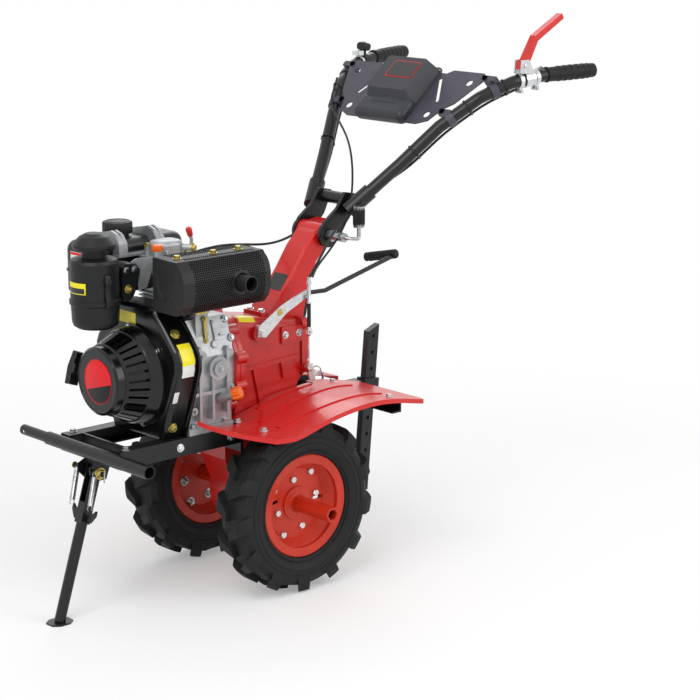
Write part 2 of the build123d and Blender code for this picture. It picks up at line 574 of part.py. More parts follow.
# handle column, yoke, handlebar
def handle_column():
    half = COLUMN_HALF
    side = [(-30, 611), (-34, 618), (-73, 658), (-118, 715), (-152, 764), (-182, 796), (-214, 815),
            (-248, 820), (-274, 812), (-278, 798), (-262, 776), (-224, 757), (-192, 726), (-160, 665), (-146, 598)]
    body = side_plate(side, -half, half)
    rims = body.edges().filter_by(Plane.XZ).filter_by(lambda e: e.center().Z > 640)
    body = chamfer(rims, 5)
    body += rod((PIVOT_X, -BOSS_HALF, PIVOT_Z), (PIVOT_X, BOSS_HALF, PIVOT_Z), 2 * BOSS_R)
    body -= rod((PIVOT_X, -BOSS_HALF - 1, PIVOT_Z), (PIVOT_X, BOSS_HALF + 1, PIVOT_Z),
                PIVOT_BOLT_D + 2 * RUN)
    foot = side_plate([(-20, 619.6), (-20, 628), (-112, 613), (-112, 604.96)], 8 - GEAR_HALF + 18, GEAR_HALF - 26)
    return (body + foot) - out["gearbox"] - out["gearbox_rear_cover"]


def handle_yoke():
    y0 = BOSS_HALF + RUN
    y1 = y0 + YOKE_T
    arm = [(PIVOT_X + 24, PIVOT_Z - 12), (PIVOT_X + 26, PIVOT_Z + 10), (PIVOT_X + 12, PIVOT_Z + 32),
           (PIVOT_X - 26, PIVOT_Z + 60), (PIVOT_X - 52, PIVOT_Z + 96), (PIVOT_X - 92, PIVOT_Z + 88),
           (PIVOT_X - 66, PIVOT_Z + 34), (PIVOT_X - 36, PIVOT_Z + 2), (PIVOT_X - 16, PIVOT_Z - 26)]
    plate = side_plate(arm, y0, y1, 4) + rod((PIVOT_X, y0, PIVOT_Z), (PIVOT_X, y1, PIVOT_Z), 60)
    start, next_ = Vector(*BAR_RUN[0]), Vector(*BAR_RUN[1])
    along = (next_ - start).normalized()
    socket = rod(tuple(start - along * 6), tuple(start + along * SOCKET_LONG), BAR_D + 9)
    plate += socket
    plate -= rod(tuple(start), tuple(start + along * (SOCKET_LONG + 1)), BAR_D + 2 * SEAT)
    x, z = PIVOT_X - 66, PIVOT_Z + 76
    cross = rod((x, -BAR_RUN[0][1] + 20, z), (x, BAR_RUN[0][1] - 20, z), 30)
    bolt = rod((PIVOT_X, -y1 - 14, PIVOT_Z), (PIVOT_X, y1 + 18, PIVOT_Z), PIVOT_BOLT_D)
    return plate + mirror(plate, about=Plane.XZ) + cross + bolt


def handlebar(side):
    points = [(x, side * y, z) for x, y, z in BAR_RUN]
    bar = bent(points, 60, BAR_D, BAR_D - 5)
    return bar - out["handle_yoke"]


def grip(side):
    a, b = BAR_RUN[-2], BAR_RUN[-1]

    def at(x):
        t = (x - a[0]) / (b[0] - a[0])
        return (x, side * (a[1] + t * (b[1] - a[1])), a[2] + t * (b[2] - a[2]))

    sleeve = rod(at(GRIP_START_X - 6), at(GRIP_END_X), GRIP_D)
    return sleeve - rod(at(GRIP_START_X), at(b[0] - 0.5), BAR_D + 2 * SEAT)


def on_console(u, v, w):
    """Point on the console: u across, v up the slope from its lower edge, w out of it."""
    slope = radians(41.5)
    return Vector(-437 - v * cos(slope) + w * sin(slope), u, 1048.9 + v * sin(slope) + w * cos(slope))


CONSOLE = Plane(on_console(0, 0, 0), x_dir=(0, 1, 0), z_dir=on_console(0, 0, 1) - on_console(0, 0, 0))


def console_plate():
    # on this plane +x is to the left of the machine and +y runs up the slope
    pts = [(-153, 0), (-120, -14), (120, -14), (153, 0), (172, 40), (196, 60), (236, 142),
           (222, 162), (120, 162), (104, 150), (-104, 150), (-120, 162), (-222, 162),
           (-236, 142), (-196, 60), (-172, 40)]
    face = make_face(Polyline([(x, y, 0) for x, y in pts], close=True))
    for x in (-1, 1):
        face -= Pos(x * 196, 128) * Circle(9)
        face -= Pos(x * 136, 18) * Circle(9)
        face -= Pos(x * 118, 96) * Rot(0, 0, -x * 60) * SlotOverall(84, 9)
    plate = extrude(CONSOLE * face, amount=2.5)
    for side in (-1, 1):
        for x, u, v, w in ((-463, 182, 34, -12), (-552, 246, 150, -24)):
            p = bar_point(x)
            ring = clamp_ring((p.X, side * p.Y, p.Z), bar_way(x, side), 18, 3.5)
            post = CONSOLE * Pos(side * u, v, (w + 2.5) / 2) * Box(36, 14, 2.5 - w)
            plate += (ring + post) - bar_core(x, side)
    return plate


def console_cover():
    low = CONSOLE.offset(2.5) * (Pos(0, 86) * RectangleRounded(164, 146, 14))
    top = CONSOLE.offset(46) * (Pos(0, 100) * RectangleRounded(136, 104, 10))
    upper = loft([low.face(), top.face()])
    nose = CONSOLE * Pos(0, 14, 9) * Box(172, 66, 40)
    nose = fillet(nose.edges(), 17)
    return (upper + nose) - out["console_plate"]


def clamp_ring(centre, direction, width, wall=5.0):
    d = Vector(*direction).normalized()
    a = Vector(*centre) - d * (width / 2)
    bore = rod(tuple(a - d), tuple(a + d * (width + 1)), BAR_D + 2 * SEAT)
    return rod(tuple(a), tuple(a + d * width), BAR_D + 2 * wall) - bore


def bar_point(x):
    for a, b in zip(BAR_RUN, BAR_RUN[1:]):
        if b[0] <= x <= a[0]:
            t = (x - a[0]) / (b[0] - a[0])
            return Vector(*[a[i] + t * (b[i] - a[i]) for i in range(3)])


def bar_way(x, side):
    """Direction of the bar's axis at x on one side."""
    d = bar_point(x - 8) - bar_point(x)
    return (d.X, side * d.Y, d.Z)


def bar_core(x, side):
    """The room that the bar itself takes near x, with the seat of a clamp around it."""
    a, b = bar_point(x + 20), bar_point(x - 20)
    return rod((a.X, side * a.Y, a.Z), (b.X, side * b.Y, b.Z), BAR_D + 2 * SEAT)


def clutch_lever_bracket():
    d = bar_point(-650) - bar_point(-640)
    ring = clamp_ring(tuple(bar_point(-634)), tuple(d), 26)
    p = bar_point(-634)
    cheek = side_plate([(p.X + 36, p.Z + 17), (p.X + 34, p.Z + 46), (p.X + 10, p.Z + 46), (p.X - 12, p.Z + 16)],
                       p.Y - 12, p.Y - 9)
    cheek += side_plate([(p.X + 36, p.Z + 17), (p.X + 34, p.Z + 46), (p.X + 10, p.Z + 46), (p.X - 12, p.Z + 16)],
                        p.Y + 9, p.Y + 12)
    base = block(p.X - 14, p.X + 36, p.Y - 12, p.Y + 12, p.Z + 14, p.Z + 18)
    return (ring + cheek + base) - rod(tuple(bar_point(-600)), tuple(bar_point(-680)), BAR_D + 2 * SEAT)


def clutch_lever():
    p = bar_point(-634)
    y = p.Y
    outline = [(p.X + 34, p.Z + 24), (p.X + 22, p.Z + 44), (p.X - 14, p.Z + 100), (p.X - 106, p.Z + 148),
               (p.X - 112, p.Z + 136), (p.X - 24, p.Z + 88), (p.X + 10, p.Z + 28)]
    return side_plate(outline, y - 8.8, y + 8.8)


def throttle_lever():
    p = bar_point(-634)
    d = bar_point(-650) - bar_point(-640)
    ring = clamp_ring(tuple(p), tuple(d), 16)
    paddle = side_plate([(p.X - 8, p.Z + 18), (p.X + 8, p.Z + 18), (p.X + 2, p.Z + 50), (p.X - 6, p.Z + 50)],
                        p.Y - 5, p.Y + 5)
    return mirror(ring + paddle, about=Plane.XZ)


def lock_crank():
    y = BOSS_HALF + RUN + YOKE_T + 18
    sleeve = rod((PIVOT_X, y - 10, PIVOT_Z), (PIVOT_X, y + 36, PIVOT_Z), 22)
    arm = bent([(PIVOT_X, y + 30, PIVOT_Z), (PIVOT_X, y + 46, PIVOT_Z), (PIVOT_X - 36, y + 46, PIVOT_Z - 6),
                (PIVOT_X - 36, y + 46, PIVOT_Z + 24)], 6, 9)
    knob = rod((PIVOT_X - 36, y + 46, PIVOT_Z + 22), (PIVOT_X - 36, y + 46, PIVOT_Z + 72), 26)
    nut = Pos(PIVOT_X, y - 16, PIVOT_Z) * hex_bar(27, 0, 14)
    return (sleeve + arm + knob + nut) - out["handle_yoke"]


# controls on the gearbox
def clutch_arm():
    y = GEAR_HALF + 12
    arm = side_plate([(2, 580), (26, 584), (24, 604), (-48, 646), (-122, 676), (-130, 660), (-60, 628)],
                     y, y + 6, 2)
    eye = rod((-122, y - 3, 667), (-122, y + 12, 667), 14)
    return arm + eye + rod((14, y, 592), (14, y + 12, 592), 16)


def shift_rod():
    x1 = GEAR_REAR_X - COVER_T
    rod_ = bent([(x1, 12, 590), (x1 - 24, 12, 594), (-178, 12, 650), (-236, 12, 648), (-452, 20, 706)], 10, 11)
    return rod_ - out["gearbox_rear_cover"] - out["handle_column"]


def shift_grip():
    bar = rod((-455, 30, 712), (-434, -60, 694), 23)
    return bar - out["shift_rod"]


# fenders and their supports
def fender_band(low, high):
    top = [(x, z + high) for x, z in FENDER_TOP]
    bottom = [(x, z + low) for x, z in FENDER_TOP]
    upper = Spline(*[(x, 0, z) for x, z in top])
    lower = Spline(*[(x, 0, z) for x, z in bottom])
    face = make_face([upper, Line(upper @ 1, lower @ 1), lower, Line(lower @ 0, upper @ 0)])
    return extrude(face, amount=340, dir=(0, 1, 0))


def fender_plan(inset):
    o, i = FENDER_OUT - inset, FENDER_IN
    x = FENDER_REAR_X + inset
    r = FENDER_REAR_IN
    pts = [(240 - inset, 118), (150 - inset, o - 12), (96, o), (-190, o - 4), (x + 6, o - 18),
           (x, o - 34), (x, r), (GEAR_REAR_X - COVER_T - 12, r), (GEAR_REAR_X - COVER_T - 12, i),
           (AXLE_FRONT_X + 8, i), (AXLE_FRONT_X + 18, 118)]
    return top_plate(pts, 340, 500)


def fender(side):
    sheet = fender_band(-FENDER_SHEET, 0) & fender_plan(0)
    inner = fender_plan(FENDER_SHEET)
    lip = (fender_band(-FENDER_LIP, -1) & fender_plan(0)) - inner
    body = sheet + lip
    for (xa, ya), (xb, yb) in (((40, 84), (-140, 66)), ((86, 150), (-228, 112)), ((86, 214), (-222, 220))):
        strip = top_plate([(xa, ya - 7), (xa, ya + 7), (xb, yb + 7), (xb, yb - 7)], 340, 500)
        body += fender_band(-1, 3) & strip
    return body if side > 0 else mirror(body, about=Plane.XZ)


def fender_support(side):
    front = block(AXLE_FRONT_X - 14, AXLE_FRONT_X + 18, RAIL_Y - RAIL_FLANGE, 214, RAIL_TOP_Z, RAIL_TOP_Z + 6)
    front -= fender_band(-FENDER_SHEET - SEAT, 60)
    x0, x1 = -236, -208
    rear = block(x0, x1, DRAW_HALF + 6, FENDER_OUT - 14, 400, 404)
    web = block(x0, x0 + 4, DRAW_HALF + 6, FENDER_OUT - 14, 400, 450)
    rear = (rear + web) - fender_band(-FENDER_SHEET - SEAT, 60)
    shape = Compound([front, rear])
    return shape if side > 0 else mirror(shape, about=Plane.XZ)


# drawbar, pin and depth stake
def stake_point(s):
    lean = radians(STAKE_LEAN)
    return Vector(STAKE_X - s * sin(lean), 0, STAKE_Z + s * cos(lean))


def depth_stake():
    w, t = STAKE_WIDE / 2, STAKE_THICK / 2
    bar = side_plate([(-w, -STAKE_DOWN), (w, -STAKE_DOWN), (w, STAKE_UP - 8), (-w, STAKE_UP + 10)], -t, t)
    s = -STAKE_DOWN + 20
    while s < STAKE_UP - 10:
        bar -= rod((0, -t - 1, s), (0, t + 1, s), 9)
        s += STAKE_PITCH
    return Pos(STAKE_X, 0, STAKE_Z) * Rot(0, -STAKE_LEAN, 0) * bar


def hitch():
    w, t = STAKE_WIDE / 2 + SEAT, STAKE_THICK / 2 + SEAT
    x0 = -86
    beam = block(STAKE_X + 20, x0, -DRAW_HALF, DRAW_HALF, DRAW_LOW_Z, DRAW_TOP_Z)
    beam -= block(STAKE_X + 10, x0 - 60, -DRAW_HALF + 5, DRAW_HALF - 5, DRAW_LOW_Z + 5, DRAW_TOP_Z - 5)
    sleeve = block(-w - 6, w + 6, -t - 6, t + 6, -22, 22)
    sleeve = Pos(STAKE_X, 0, STAKE_Z) * Rot(0, -STAKE_LEAN, 0) * sleeve
    body = beam + sleeve
    core = Pos(STAKE_X, 0, STAKE_Z) * Rot(0, -STAKE_LEAN, 0) * block(-w, w, -t, t, -60, 60)
    body -= core
    body -= rod((-205, 0, DRAW_LOW_Z - 1), (-205, 0, DRAW_TOP_Z + 1), 14.4)
    return body - out["axle_housing"] - out["gearbox"] - out["gearbox_rear_cover"]


def hitch_pin():
    pin = rod((-205, 0, DRAW_LOW_Z - 22), (-205, 0, DRAW_TOP_Z + 22), 13.8)
    pin += rod((-205, 0, DRAW_TOP_Z + 0.2), (-205, 0, DRAW_TOP_Z + 8), 24)
    ring = Pos(-222, 0, DRAW_TOP_Z + 28) * Rot(90, 0, 0) * Torus(17, 3)
    return pin + ring


# cables between the handlebar and the machine, each held at both ends
def clutch_cable():
    along = [(x - 17.2, y, z - 15.8) for x, y, z in BAR_RUN[1:5]]
    points = along[::-1] + [(-318, 92, 838), (-236, 94, 734), (-172, 82, 690), (-124, 76, 668)]
    return bent(points, 30, CABLE_D) - out["clutch_arm"]


def throttle_cable():
    along = [(x - 17.2, -y, z - 15.8) for x, y, z in BAR_RUN[1:5]]
    points = along[::-1] + [(-312, -92, 812), (-200, -84, 756), (-60, -50, 778), (60, -20, 790), (168, -6, 782)]
    return bent(points, 40, CABLE_D) - out["cylinder_head"]


out = {}
set_wheel()
out["gearbox"] = gearbox()
out["gearbox_rear_cover"] = gearbox_rear_cover()
out["axle_housing"] = axle_housing()
out["crankcase"] = crankcase()
out["oil_plug"] = oil_plugs()
out["fan_shroud"] = fan_shroud()
out["recoil_starter"] = recoil_starter()
out["starter_handle"] = starter_handle()
out["cylinder_head"] = cylinder_head()
out["fuel_tank"] = fuel_tank()
out["tank_brackets"] = tank_straps()
out["air_filter"] = air_filter()
out["muffler"] = muffler()
out["muffler_guard"] = muffler_guard()
out["exhaust_outlet"] = exhaust_outlet()
out["left_rail"] = rail(1)
out["right_rail"] = rail(-1)
out["frame_end_plate"] = frame_end_plate()
out["stand_beam"] = stand_beam()
out["bumper"] = bumper()
out["bumper_inner_tube"] = probe_tube()
out["stand_bracket"] = stand_bracket()
out["stand_leg"] = stand_leg()
out["left_stand_spring"] = stand_spring(1)
out["right_stand_spring"] = stand_spring(-1)
out["handle_column"] = handle_column()
out["handle_yoke"] = handle_yoke()
out["left_handlebar"] = handlebar(1)
out["right_handlebar"] = handlebar(-1)
out["left_grip"] = grip(1)
out["right_grip"] = grip(-1)
out["console_plate"] = console_plate()
out["console_cover"] = console_cover()
out["clutch_lever_bracket"] = clutch_lever_bracket()
out["clutch_lever"] = clutch_lever()
out["throttle_lever"] = throttle_lever()
out["lock_crank"] = lock_crank()
out["clutch_arm"] = clutch_arm()
out["shift_rod"] = shift_rod()
out["shift_grip"] = shift_grip()
out["left_fender"] = fender(1)
out["right_fender"] = fender(-1)
out["left_fender_support"] = fender_support(1)
out["right_fender_support"] = fender_support(-1)
out["depth_stake"] = depth_stake()
out["hitch"] = hitch()
out["hitch_pin"] = hitch_pin()
out["clutch_cable"] = clutch_cable()
out["throttle_cable"] = throttle_cable()

for name, shape in out.items():
    export_step(solid_of(shape), f"parts/{name}.step")
    print(name, len(shape.solids()), round(shape.volume / 1000, 1))
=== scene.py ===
"""Walking tractor with a small diesel engine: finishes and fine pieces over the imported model."""
import math

import bmesh
import bpy
import numpy as np
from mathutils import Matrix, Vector


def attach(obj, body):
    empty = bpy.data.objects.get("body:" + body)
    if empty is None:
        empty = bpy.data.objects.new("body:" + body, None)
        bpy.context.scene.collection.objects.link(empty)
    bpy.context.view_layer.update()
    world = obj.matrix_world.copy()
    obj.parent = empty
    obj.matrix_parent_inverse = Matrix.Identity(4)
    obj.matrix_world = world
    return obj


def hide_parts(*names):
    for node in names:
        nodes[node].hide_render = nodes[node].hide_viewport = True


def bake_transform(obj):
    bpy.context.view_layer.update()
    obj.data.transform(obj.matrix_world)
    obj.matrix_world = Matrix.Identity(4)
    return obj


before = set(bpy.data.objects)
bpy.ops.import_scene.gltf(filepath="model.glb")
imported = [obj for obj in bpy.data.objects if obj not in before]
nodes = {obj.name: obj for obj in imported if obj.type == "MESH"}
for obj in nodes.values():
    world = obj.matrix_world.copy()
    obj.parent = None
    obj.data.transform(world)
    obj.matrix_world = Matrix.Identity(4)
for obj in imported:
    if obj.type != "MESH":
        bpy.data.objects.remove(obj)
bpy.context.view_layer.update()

# Directions, the two sides, and the heights that many pieces share, in millimetres
FRONT, BACK = (1, 0, 0), (-1, 0, 0)
LEFT, UP, DOWN = (0, 1, 0), (0, 0, 1), (0, 0, -1)
SIDES = (("left", 1), ("right", -1))
AXLE_Z, CRANK_Z = 205, 532
TRACK_HALF = 172

# How far a finish drifts between its two tones, and how its layers lie, in Blender's metres
TONE_FROM, TONE_TO = 0.35, 0.68
ROUGH_SWING = 0.08
COAT_ROUGHNESS = 0.08
BUMP_DEPTH = 0.0004


# Finishes
def linear(hex_colour):
    """sRGB hex to the linear colour that the shaders take."""
    c = np.array([int(hex_colour[i:i + 2], 16) for i in (1, 3, 5)]) / 255
    c = np.where(c <= 0.04045, c / 12.92, ((c + 0.055) / 1.055) ** 2.4)
    return (*c, 1.0)


def node(tree, kind, links=None, **settings):
    """Adds one shader node: settings go to its properties or sockets, links come from other nodes."""
    n = tree.nodes.new(kind)
    for key, value in settings.items():
        if key in n.inputs:
            n.inputs[key].default_value = value
        else:
            setattr(n, key, value)
    for socket, source in (links or {}).items():
        tree.links.new(source, n.inputs[socket])
    return n


def finish(name, colour, shade, roughness, metallic=0.0, coat=0.0, shade_mm=60.0, bump=0.0, grain_mm=1.0,
           specular=0.5):
    """A real finish: two tones that drift over shade_mm, roughness that drifts, fine bump grain_mm wide."""
    mat = bpy.data.materials.new(name)
    mat.use_nodes = True
    tree = mat.node_tree
    tree.nodes.clear()
    place = node(tree, "ShaderNodeTexCoord").outputs["Object"]
    drift = node(tree, "ShaderNodeTexNoise", {"Vector": place}, Scale=1000 / shade_mm, Detail=4.0,
                 Roughness=0.6)
    tone = node(tree, "ShaderNodeMapRange", {"Value": drift.outputs["Fac"]})
    tone.inputs["From Min"].default_value = TONE_FROM
    tone.inputs["From Max"].default_value = TONE_TO
    mix = node(tree, "ShaderNodeMix", {"Factor": tone.outputs["Result"]}, data_type="RGBA")
    mix.inputs[6].default_value = linear(colour)
    mix.inputs[7].default_value = linear(shade)
    gloss = node(tree, "ShaderNodeMapRange", {"Value": drift.outputs["Fac"]})
    gloss.inputs["To Min"].default_value = max(0.02, roughness - ROUGH_SWING)
    gloss.inputs["To Max"].default_value = min(1.0, roughness + ROUGH_SWING)
    skin = node(tree, "ShaderNodeBsdfPrincipled",
                {"Base Color": mix.outputs[2], "Roughness": gloss.outputs["Result"]}, Metallic=metallic)
    skin.inputs["Coat Weight"].default_value = coat
    skin.inputs["Coat Roughness"].default_value = COAT_ROUGHNESS
    skin.inputs["Specular IOR Level"].default_value = specular
    if bump:
        grain = node(tree, "ShaderNodeTexNoise", {"Vector": place}, Scale=1000 / grain_mm, Detail=3.0)
        lift = node(tree, "ShaderNodeBump", {"Height": grain.outputs["Fac"]}, Strength=bump,
                    Distance=BUMP_DEPTH)
        tree.links.new(lift.outputs["Normal"], skin.inputs["Normal"])
    node(tree, "ShaderNodeOutputMaterial", {"Surface": skin.outputs["BSDF"]})
    return mat


# baked red enamel over sandy castings: deep gloss with the mould's orange peel under it
red_casting = finish("red_enamel_casting", "#C4150E", "#AE0F0A", 0.32, coat=0.3, bump=0.5, grain_mm=2.2)
# the same enamel on pressed sheet: smooth and brighter, a little duller where hands wipe it
red_sheet = finish("red_enamel_sheet", "#CC1611", "#C2120E", 0.36, coat=0.2, shade_mm=140, bump=0.06,
                   grain_mm=5, specular=0.4)
# orange red powder coat on the rims and hub tubes: soft gloss with fine orange peel
rim_coat = finish("orange_red_powder_coat", "#C63016", "#B92A12", 0.42, coat=0.1, bump=0.2, grain_mm=1.6,
                  specular=0.35)
# black stove enamel on tube and section steel, with a bluish grey bloom
black_enamel = finish("black_stove_enamel", "#0C0D0E", "#131416", 0.34, bump=0.12, grain_mm=2.0,
                      specular=0.4)
# pressed blower housing: the same black, wet gloss
black_gloss = finish("black_gloss_enamel", "#060607", "#0B0B0C", 0.2, bump=0.03, grain_mm=6, specular=0.42)
# heat proof black paint on the muffler and its guard: dull, slightly brown, breaks every highlight up
heat_black = finish("heat_proof_black", "#1A1A1B", "#232223", 0.5, bump=0.3, grain_mm=1.2, specular=0.3)
# tank: satin black over pressed steel, broad soft reflections
tank_black = finish("satin_black_tank", "#0D0E0F", "#141517", 0.33, bump=0.06, grain_mm=4, specular=0.42)
# moulded black polypropylene with a spark-eroded grain: dark, hazy highlights
moulded_black = finish("moulded_black_plastic", "#101112", "#17181A", 0.45, bump=0.3, grain_mm=0.9,
                       specular=0.32)
# injection moulded dark grey ABS on the console cover: a fine grain that breaks the shine up
grey_abs = finish("dark_grey_abs", "#2F3036", "#36373D", 0.44, bump=0.22, grain_mm=0.8, specular=0.35)
# satin powder coat on the console's cut sheet: grey with a violet cast
grey_coat = finish("violet_grey_powder_coat", "#46444F", "#3F3D48", 0.42, bump=0.12, grain_mm=1.5,
                   specular=0.35)
# sand cast aluminium: bright, matt and pebbled
cast_alu = finish("sand_cast_aluminium", "#B4B6B8", "#989B9E", 0.44, metallic=0.7, shade_mm=30, bump=0.7,
                  grain_mm=1.4)
# zinc plated steel with a cold shine
zinc = finish("zinc_plate", "#B9BBBC", "#9FA1A3", 0.28, metallic=1.0, shade_mm=18, bump=0.08)
# satin zinc on the pressed tank straps: rolled sheet, plated and dull
satin_zinc = finish("satin_zinc_strap", "#A6A8AA", "#949698", 0.46, metallic=0.8, shade_mm=25, bump=0.2)
# new bolts and pressed clips: whiter and brighter zinc
bright_zinc = finish("bright_zinc_plate", "#DADCDD", "#C6C8CA", 0.24, metallic=0.85, shade_mm=12, bump=0.05)
# yellow passivated zinc on the nuts: greenish gold
yellow_zinc = finish("yellow_zinc_plate", "#C2B56A", "#A9924A", 0.3, metallic=0.9, shade_mm=10)
# hard drawn spring wire, left bare: bright, with a streaky shine
spring_steel = finish("bright_spring_steel", "#C4C5C7", "#9D9FA1", 0.22, metallic=1.0, shade_mm=12)
# vulcanised tyre rubber: near black, dusty grey on high spots
tyre_rubber = finish("tyre_rubber", "#161718", "#202122", 0.64, shade_mm=25, bump=0.35, specular=0.25)
# moulded grip rubber: dull black with a slight bloom
grip_rubber = finish("grip_rubber", "#101011", "#191A1B", 0.56, shade_mm=20, bump=0.3, grain_mm=0.9,
                     specular=0.28)
# cable sleeves: extruded black vinyl, smooth
cable_black = finish("black_vinyl_sleeve", "#0B0B0C", "#131314", 0.36, shade_mm=30, specular=0.35)
# orange polypropylene caps: smooth moulding with a soft gloss
orange_cap = finish("orange_plastic_cap", "#EE6A0A", "#E05E05", 0.32, shade_mm=15)
# dipped red vinyl on the small levers: even, softly shining
lever_red = finish("dipped_red_vinyl", "#D22A26", "#C2231F", 0.35, shade_mm=12)
# printed films, yellow, white, red, black and dark grey: flat, smooth, slightly glossy
yellow_label = finish("yellow_label_film", "#E9DB1E", "#DFD117", 0.3, shade_mm=40)
white_label = finish("white_label_film", "#DCDCD6", "#D2D2CC", 0.3, shade_mm=30)
badge_red = finish("red_badge_film", "#DC0418", "#D00416", 0.36, shade_mm=40, specular=0.3)
badge_black = finish("black_badge_film", "#060608", "#0A0A0C", 0.34, shade_mm=40, specular=0.25)
label_dark = finish("dark_label_film", "#1B1B1E", "#232327", 0.34, shade_mm=30)
# painted shade: near black for the inside of bores, slots and holes, where no light reaches; the same black
# on the dark joint of the rear cover
slot_black = finish("unlit_bore_black", "#030303", "#060606", 0.9, shade_mm=8, specular=0.05)

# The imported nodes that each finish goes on
DRESS = (
    (tyre_rubber, "left_tyre right_tyre"),
    (rim_coat, "left_rim right_rim left_hub right_hub"),
    (red_casting, "gearbox gearbox_rear_cover axle_housing"),
    (red_sheet, "handle_column left_fender right_fender"),
    (cast_alu, "crankcase cylinder_head"),
    (orange_cap, "oil_plug"),
    (black_gloss, "fan_shroud recoil_starter"),
    (moulded_black, "starter_handle air_filter throttle_lever"),
    (tank_black, "fuel_tank"),
    (satin_zinc, "tank_brackets"),
    (heat_black, "muffler muffler_guard exhaust_outlet"),
    (black_enamel, "left_rail right_rail frame_end_plate stand_beam bumper bumper_inner_tube"),
    (black_enamel, "stand_bracket stand_leg handle_yoke left_handlebar right_handlebar shift_rod"),
    (black_enamel, "left_fender_support right_fender_support depth_stake hitch"),
    (spring_steel, "left_stand_spring right_stand_spring"),
    (grip_rubber, "left_grip right_grip shift_grip clutch_cable throttle_cable"),
    (grey_coat, "console_plate"),
    (grey_abs, "console_cover"),
    (bright_zinc, "clutch_lever_bracket clutch_arm"),
    (lever_red, "clutch_lever"),
    (zinc, "lock_crank hitch_pin"),
)
for mat, names in DRESS:
    for name in names.split():
        nodes[name].data.materials.clear()
        nodes[name].data.materials.append(mat)


# Shapes: every new piece is made of closed grids of points in millimetres, rows along and columns round
def unit(v):
    """The vector, or each row of vectors, over its own length."""
    v = np.array(v, float)
    return v / np.linalg.norm(v, axis=-1, keepdims=True)


def square_to(axis):
    """Two unit vectors square to a unit axis and to each other."""
    a = unit(np.cross(axis, UP if abs(axis[2]) < 0.9 else FRONT))
    return a, np.cross(axis, a)


def polar(radius, degrees):
    """The pair radius * cos, radius * sin of an angle in degrees."""
    a = np.radians(degrees)
    return radius * np.cos(a), radius * np.sin(a)


def shut(grid):
    """Adds one row at the middle of each end, so that the grid closes there."""
    ends = [np.repeat(row.mean(axis=0)[None, None], grid.shape[1], axis=1) for row in (grid[0], grid[-1])]
    return np.concatenate([ends[0], grid, ends[1]])


def turned(place, axis, profile, sides=24, phase=0.0, flutes=0, depth=0.0):
    """A profile of (height, radius) turned about an axis: place + height * axis + radius * (cos t, sin t).

    With flutes the radius shrinks by depth * (1 - cos(flutes * t)) / 2, where it is over half the widest.
    """
    axis = unit(axis)
    a, b = square_to(axis)
    height, radius = np.array(profile, float).T
    t = phase + np.arange(sides) * 2 * np.pi / sides
    dip = depth * (1 - np.cos(flutes * t)) / 2
    wide = (radius > radius.max() / 2)[:, None]
    r = radius[:, None] - wide * dip[None, :]
    ring = np.cos(t)[:, None] * a + np.sin(t)[:, None] * b
    return np.array(place, float) + height[:, None, None] * axis + r[..., None] * ring[None]


def carried(path, outline, up=UP):
    """One ring of (x, y) carried along a path: point + side * x + lift * y.

    Side is square to the path and to up, and lift is square to the path and to side.
    """
    path = np.array(path, float)
    way = unit(np.gradient(path, axis=0))
    side = unit(np.cross(np.broadcast_to(up, way.shape), way))
    lift = np.cross(way, side)
    ring = np.array(outline, float)[None]
    return shut(path[:, None] + ring[..., :1] * side[:, None] + ring[..., 1:] * lift[:, None])


def circle(radius, sides):
    """Points radius * (cos t, sin t)."""
    t = np.arange(sides) * 2 * np.pi / sides
    return np.column_stack([np.cos(t), np.sin(t)]) * radius


def rounded(width, height, corner, steps=5):
    """Rectangle with round corners: four quarter circles about points set in by the corner's radius."""
    t = np.concatenate([np.linspace(q, q + 1, steps) for q in range(4)]) * np.pi / 2
    sx = np.repeat([1, -1, -1, 1], steps) * (width / 2 - corner)
    sy = np.repeat([1, 1, -1, -1], steps) * (height / 2 - corner)
    return np.column_stack([sx + corner * np.cos(t), sy + corner * np.sin(t)])


def flow(points, per=6):
    """Uniform cubic B-spline over the given control points, the ends tripled so that it reaches them."""
    p = np.array(points, float)
    p = np.concatenate([p[:1], p[:1], p, p[-1:], p[-1:]])
    t = np.linspace(0, 1, per, endpoint=False)[:, None]
    weight = np.concatenate([(1 - t) ** 3, 3 * t ** 3 - 6 * t ** 2 + 4,
                             -3 * t ** 3 + 3 * t ** 2 + 3 * t + 1, t ** 3], axis=1) / 6
    spans = np.stack([p[:-3], p[1:-2], p[2:-1], p[3:]], axis=1)
    line = np.einsum("pk,mkc->mpc", weight, spans).reshape(-1, 3)
    return np.concatenate([line[per:], p[-1:]])


def pad(place, normal, up, outline, levels):
    """A flat form on a surface: its outline, shrunk about the middle, at each (height, scale), and shut."""
    normal = unit(normal)
    across = unit(np.cross(up, normal))
    rise = np.cross(normal, across)
    flat = outline[:, :1] * across + outline[:, 1:] * rise
    height, scale = np.array(levels, float).T
    return shut(np.array(place, float) + flat[None] * scale[:, None, None] + height[:, None, None] * normal)


def plate(corners, y, levels):
    """An upright plate with corners (x, z), whose levels are (distance to the left of y, scale)."""
    corners = np.array(corners, float)
    middle = corners.mean(axis=0)
    return pad((middle[0], y, middle[1]), LEFT, UP, (corners - middle) * [-1, 1], levels)


def ring_about(place, axis, radius, wire, turns=1.0, pitch=0.0, sides=8, steps=28, start=0.0):
    """A round wire along a helix: radius * (cos t, sin t) across the axis, pitch * t / 2 pi along it."""
    axis = unit(axis)
    a, b = square_to(axis)
    t = start + np.linspace(0, 2 * np.pi * turns, int(steps * turns) + 1)
    line = np.cos(t)[:, None] * a * radius + np.sin(t)[:, None] * b * radius
    line = line + (pitch * (t - start) / (2 * np.pi))[:, None] * axis + np.array(place, float)
    return carried(line, circle(wire / 2, sides), up=axis)


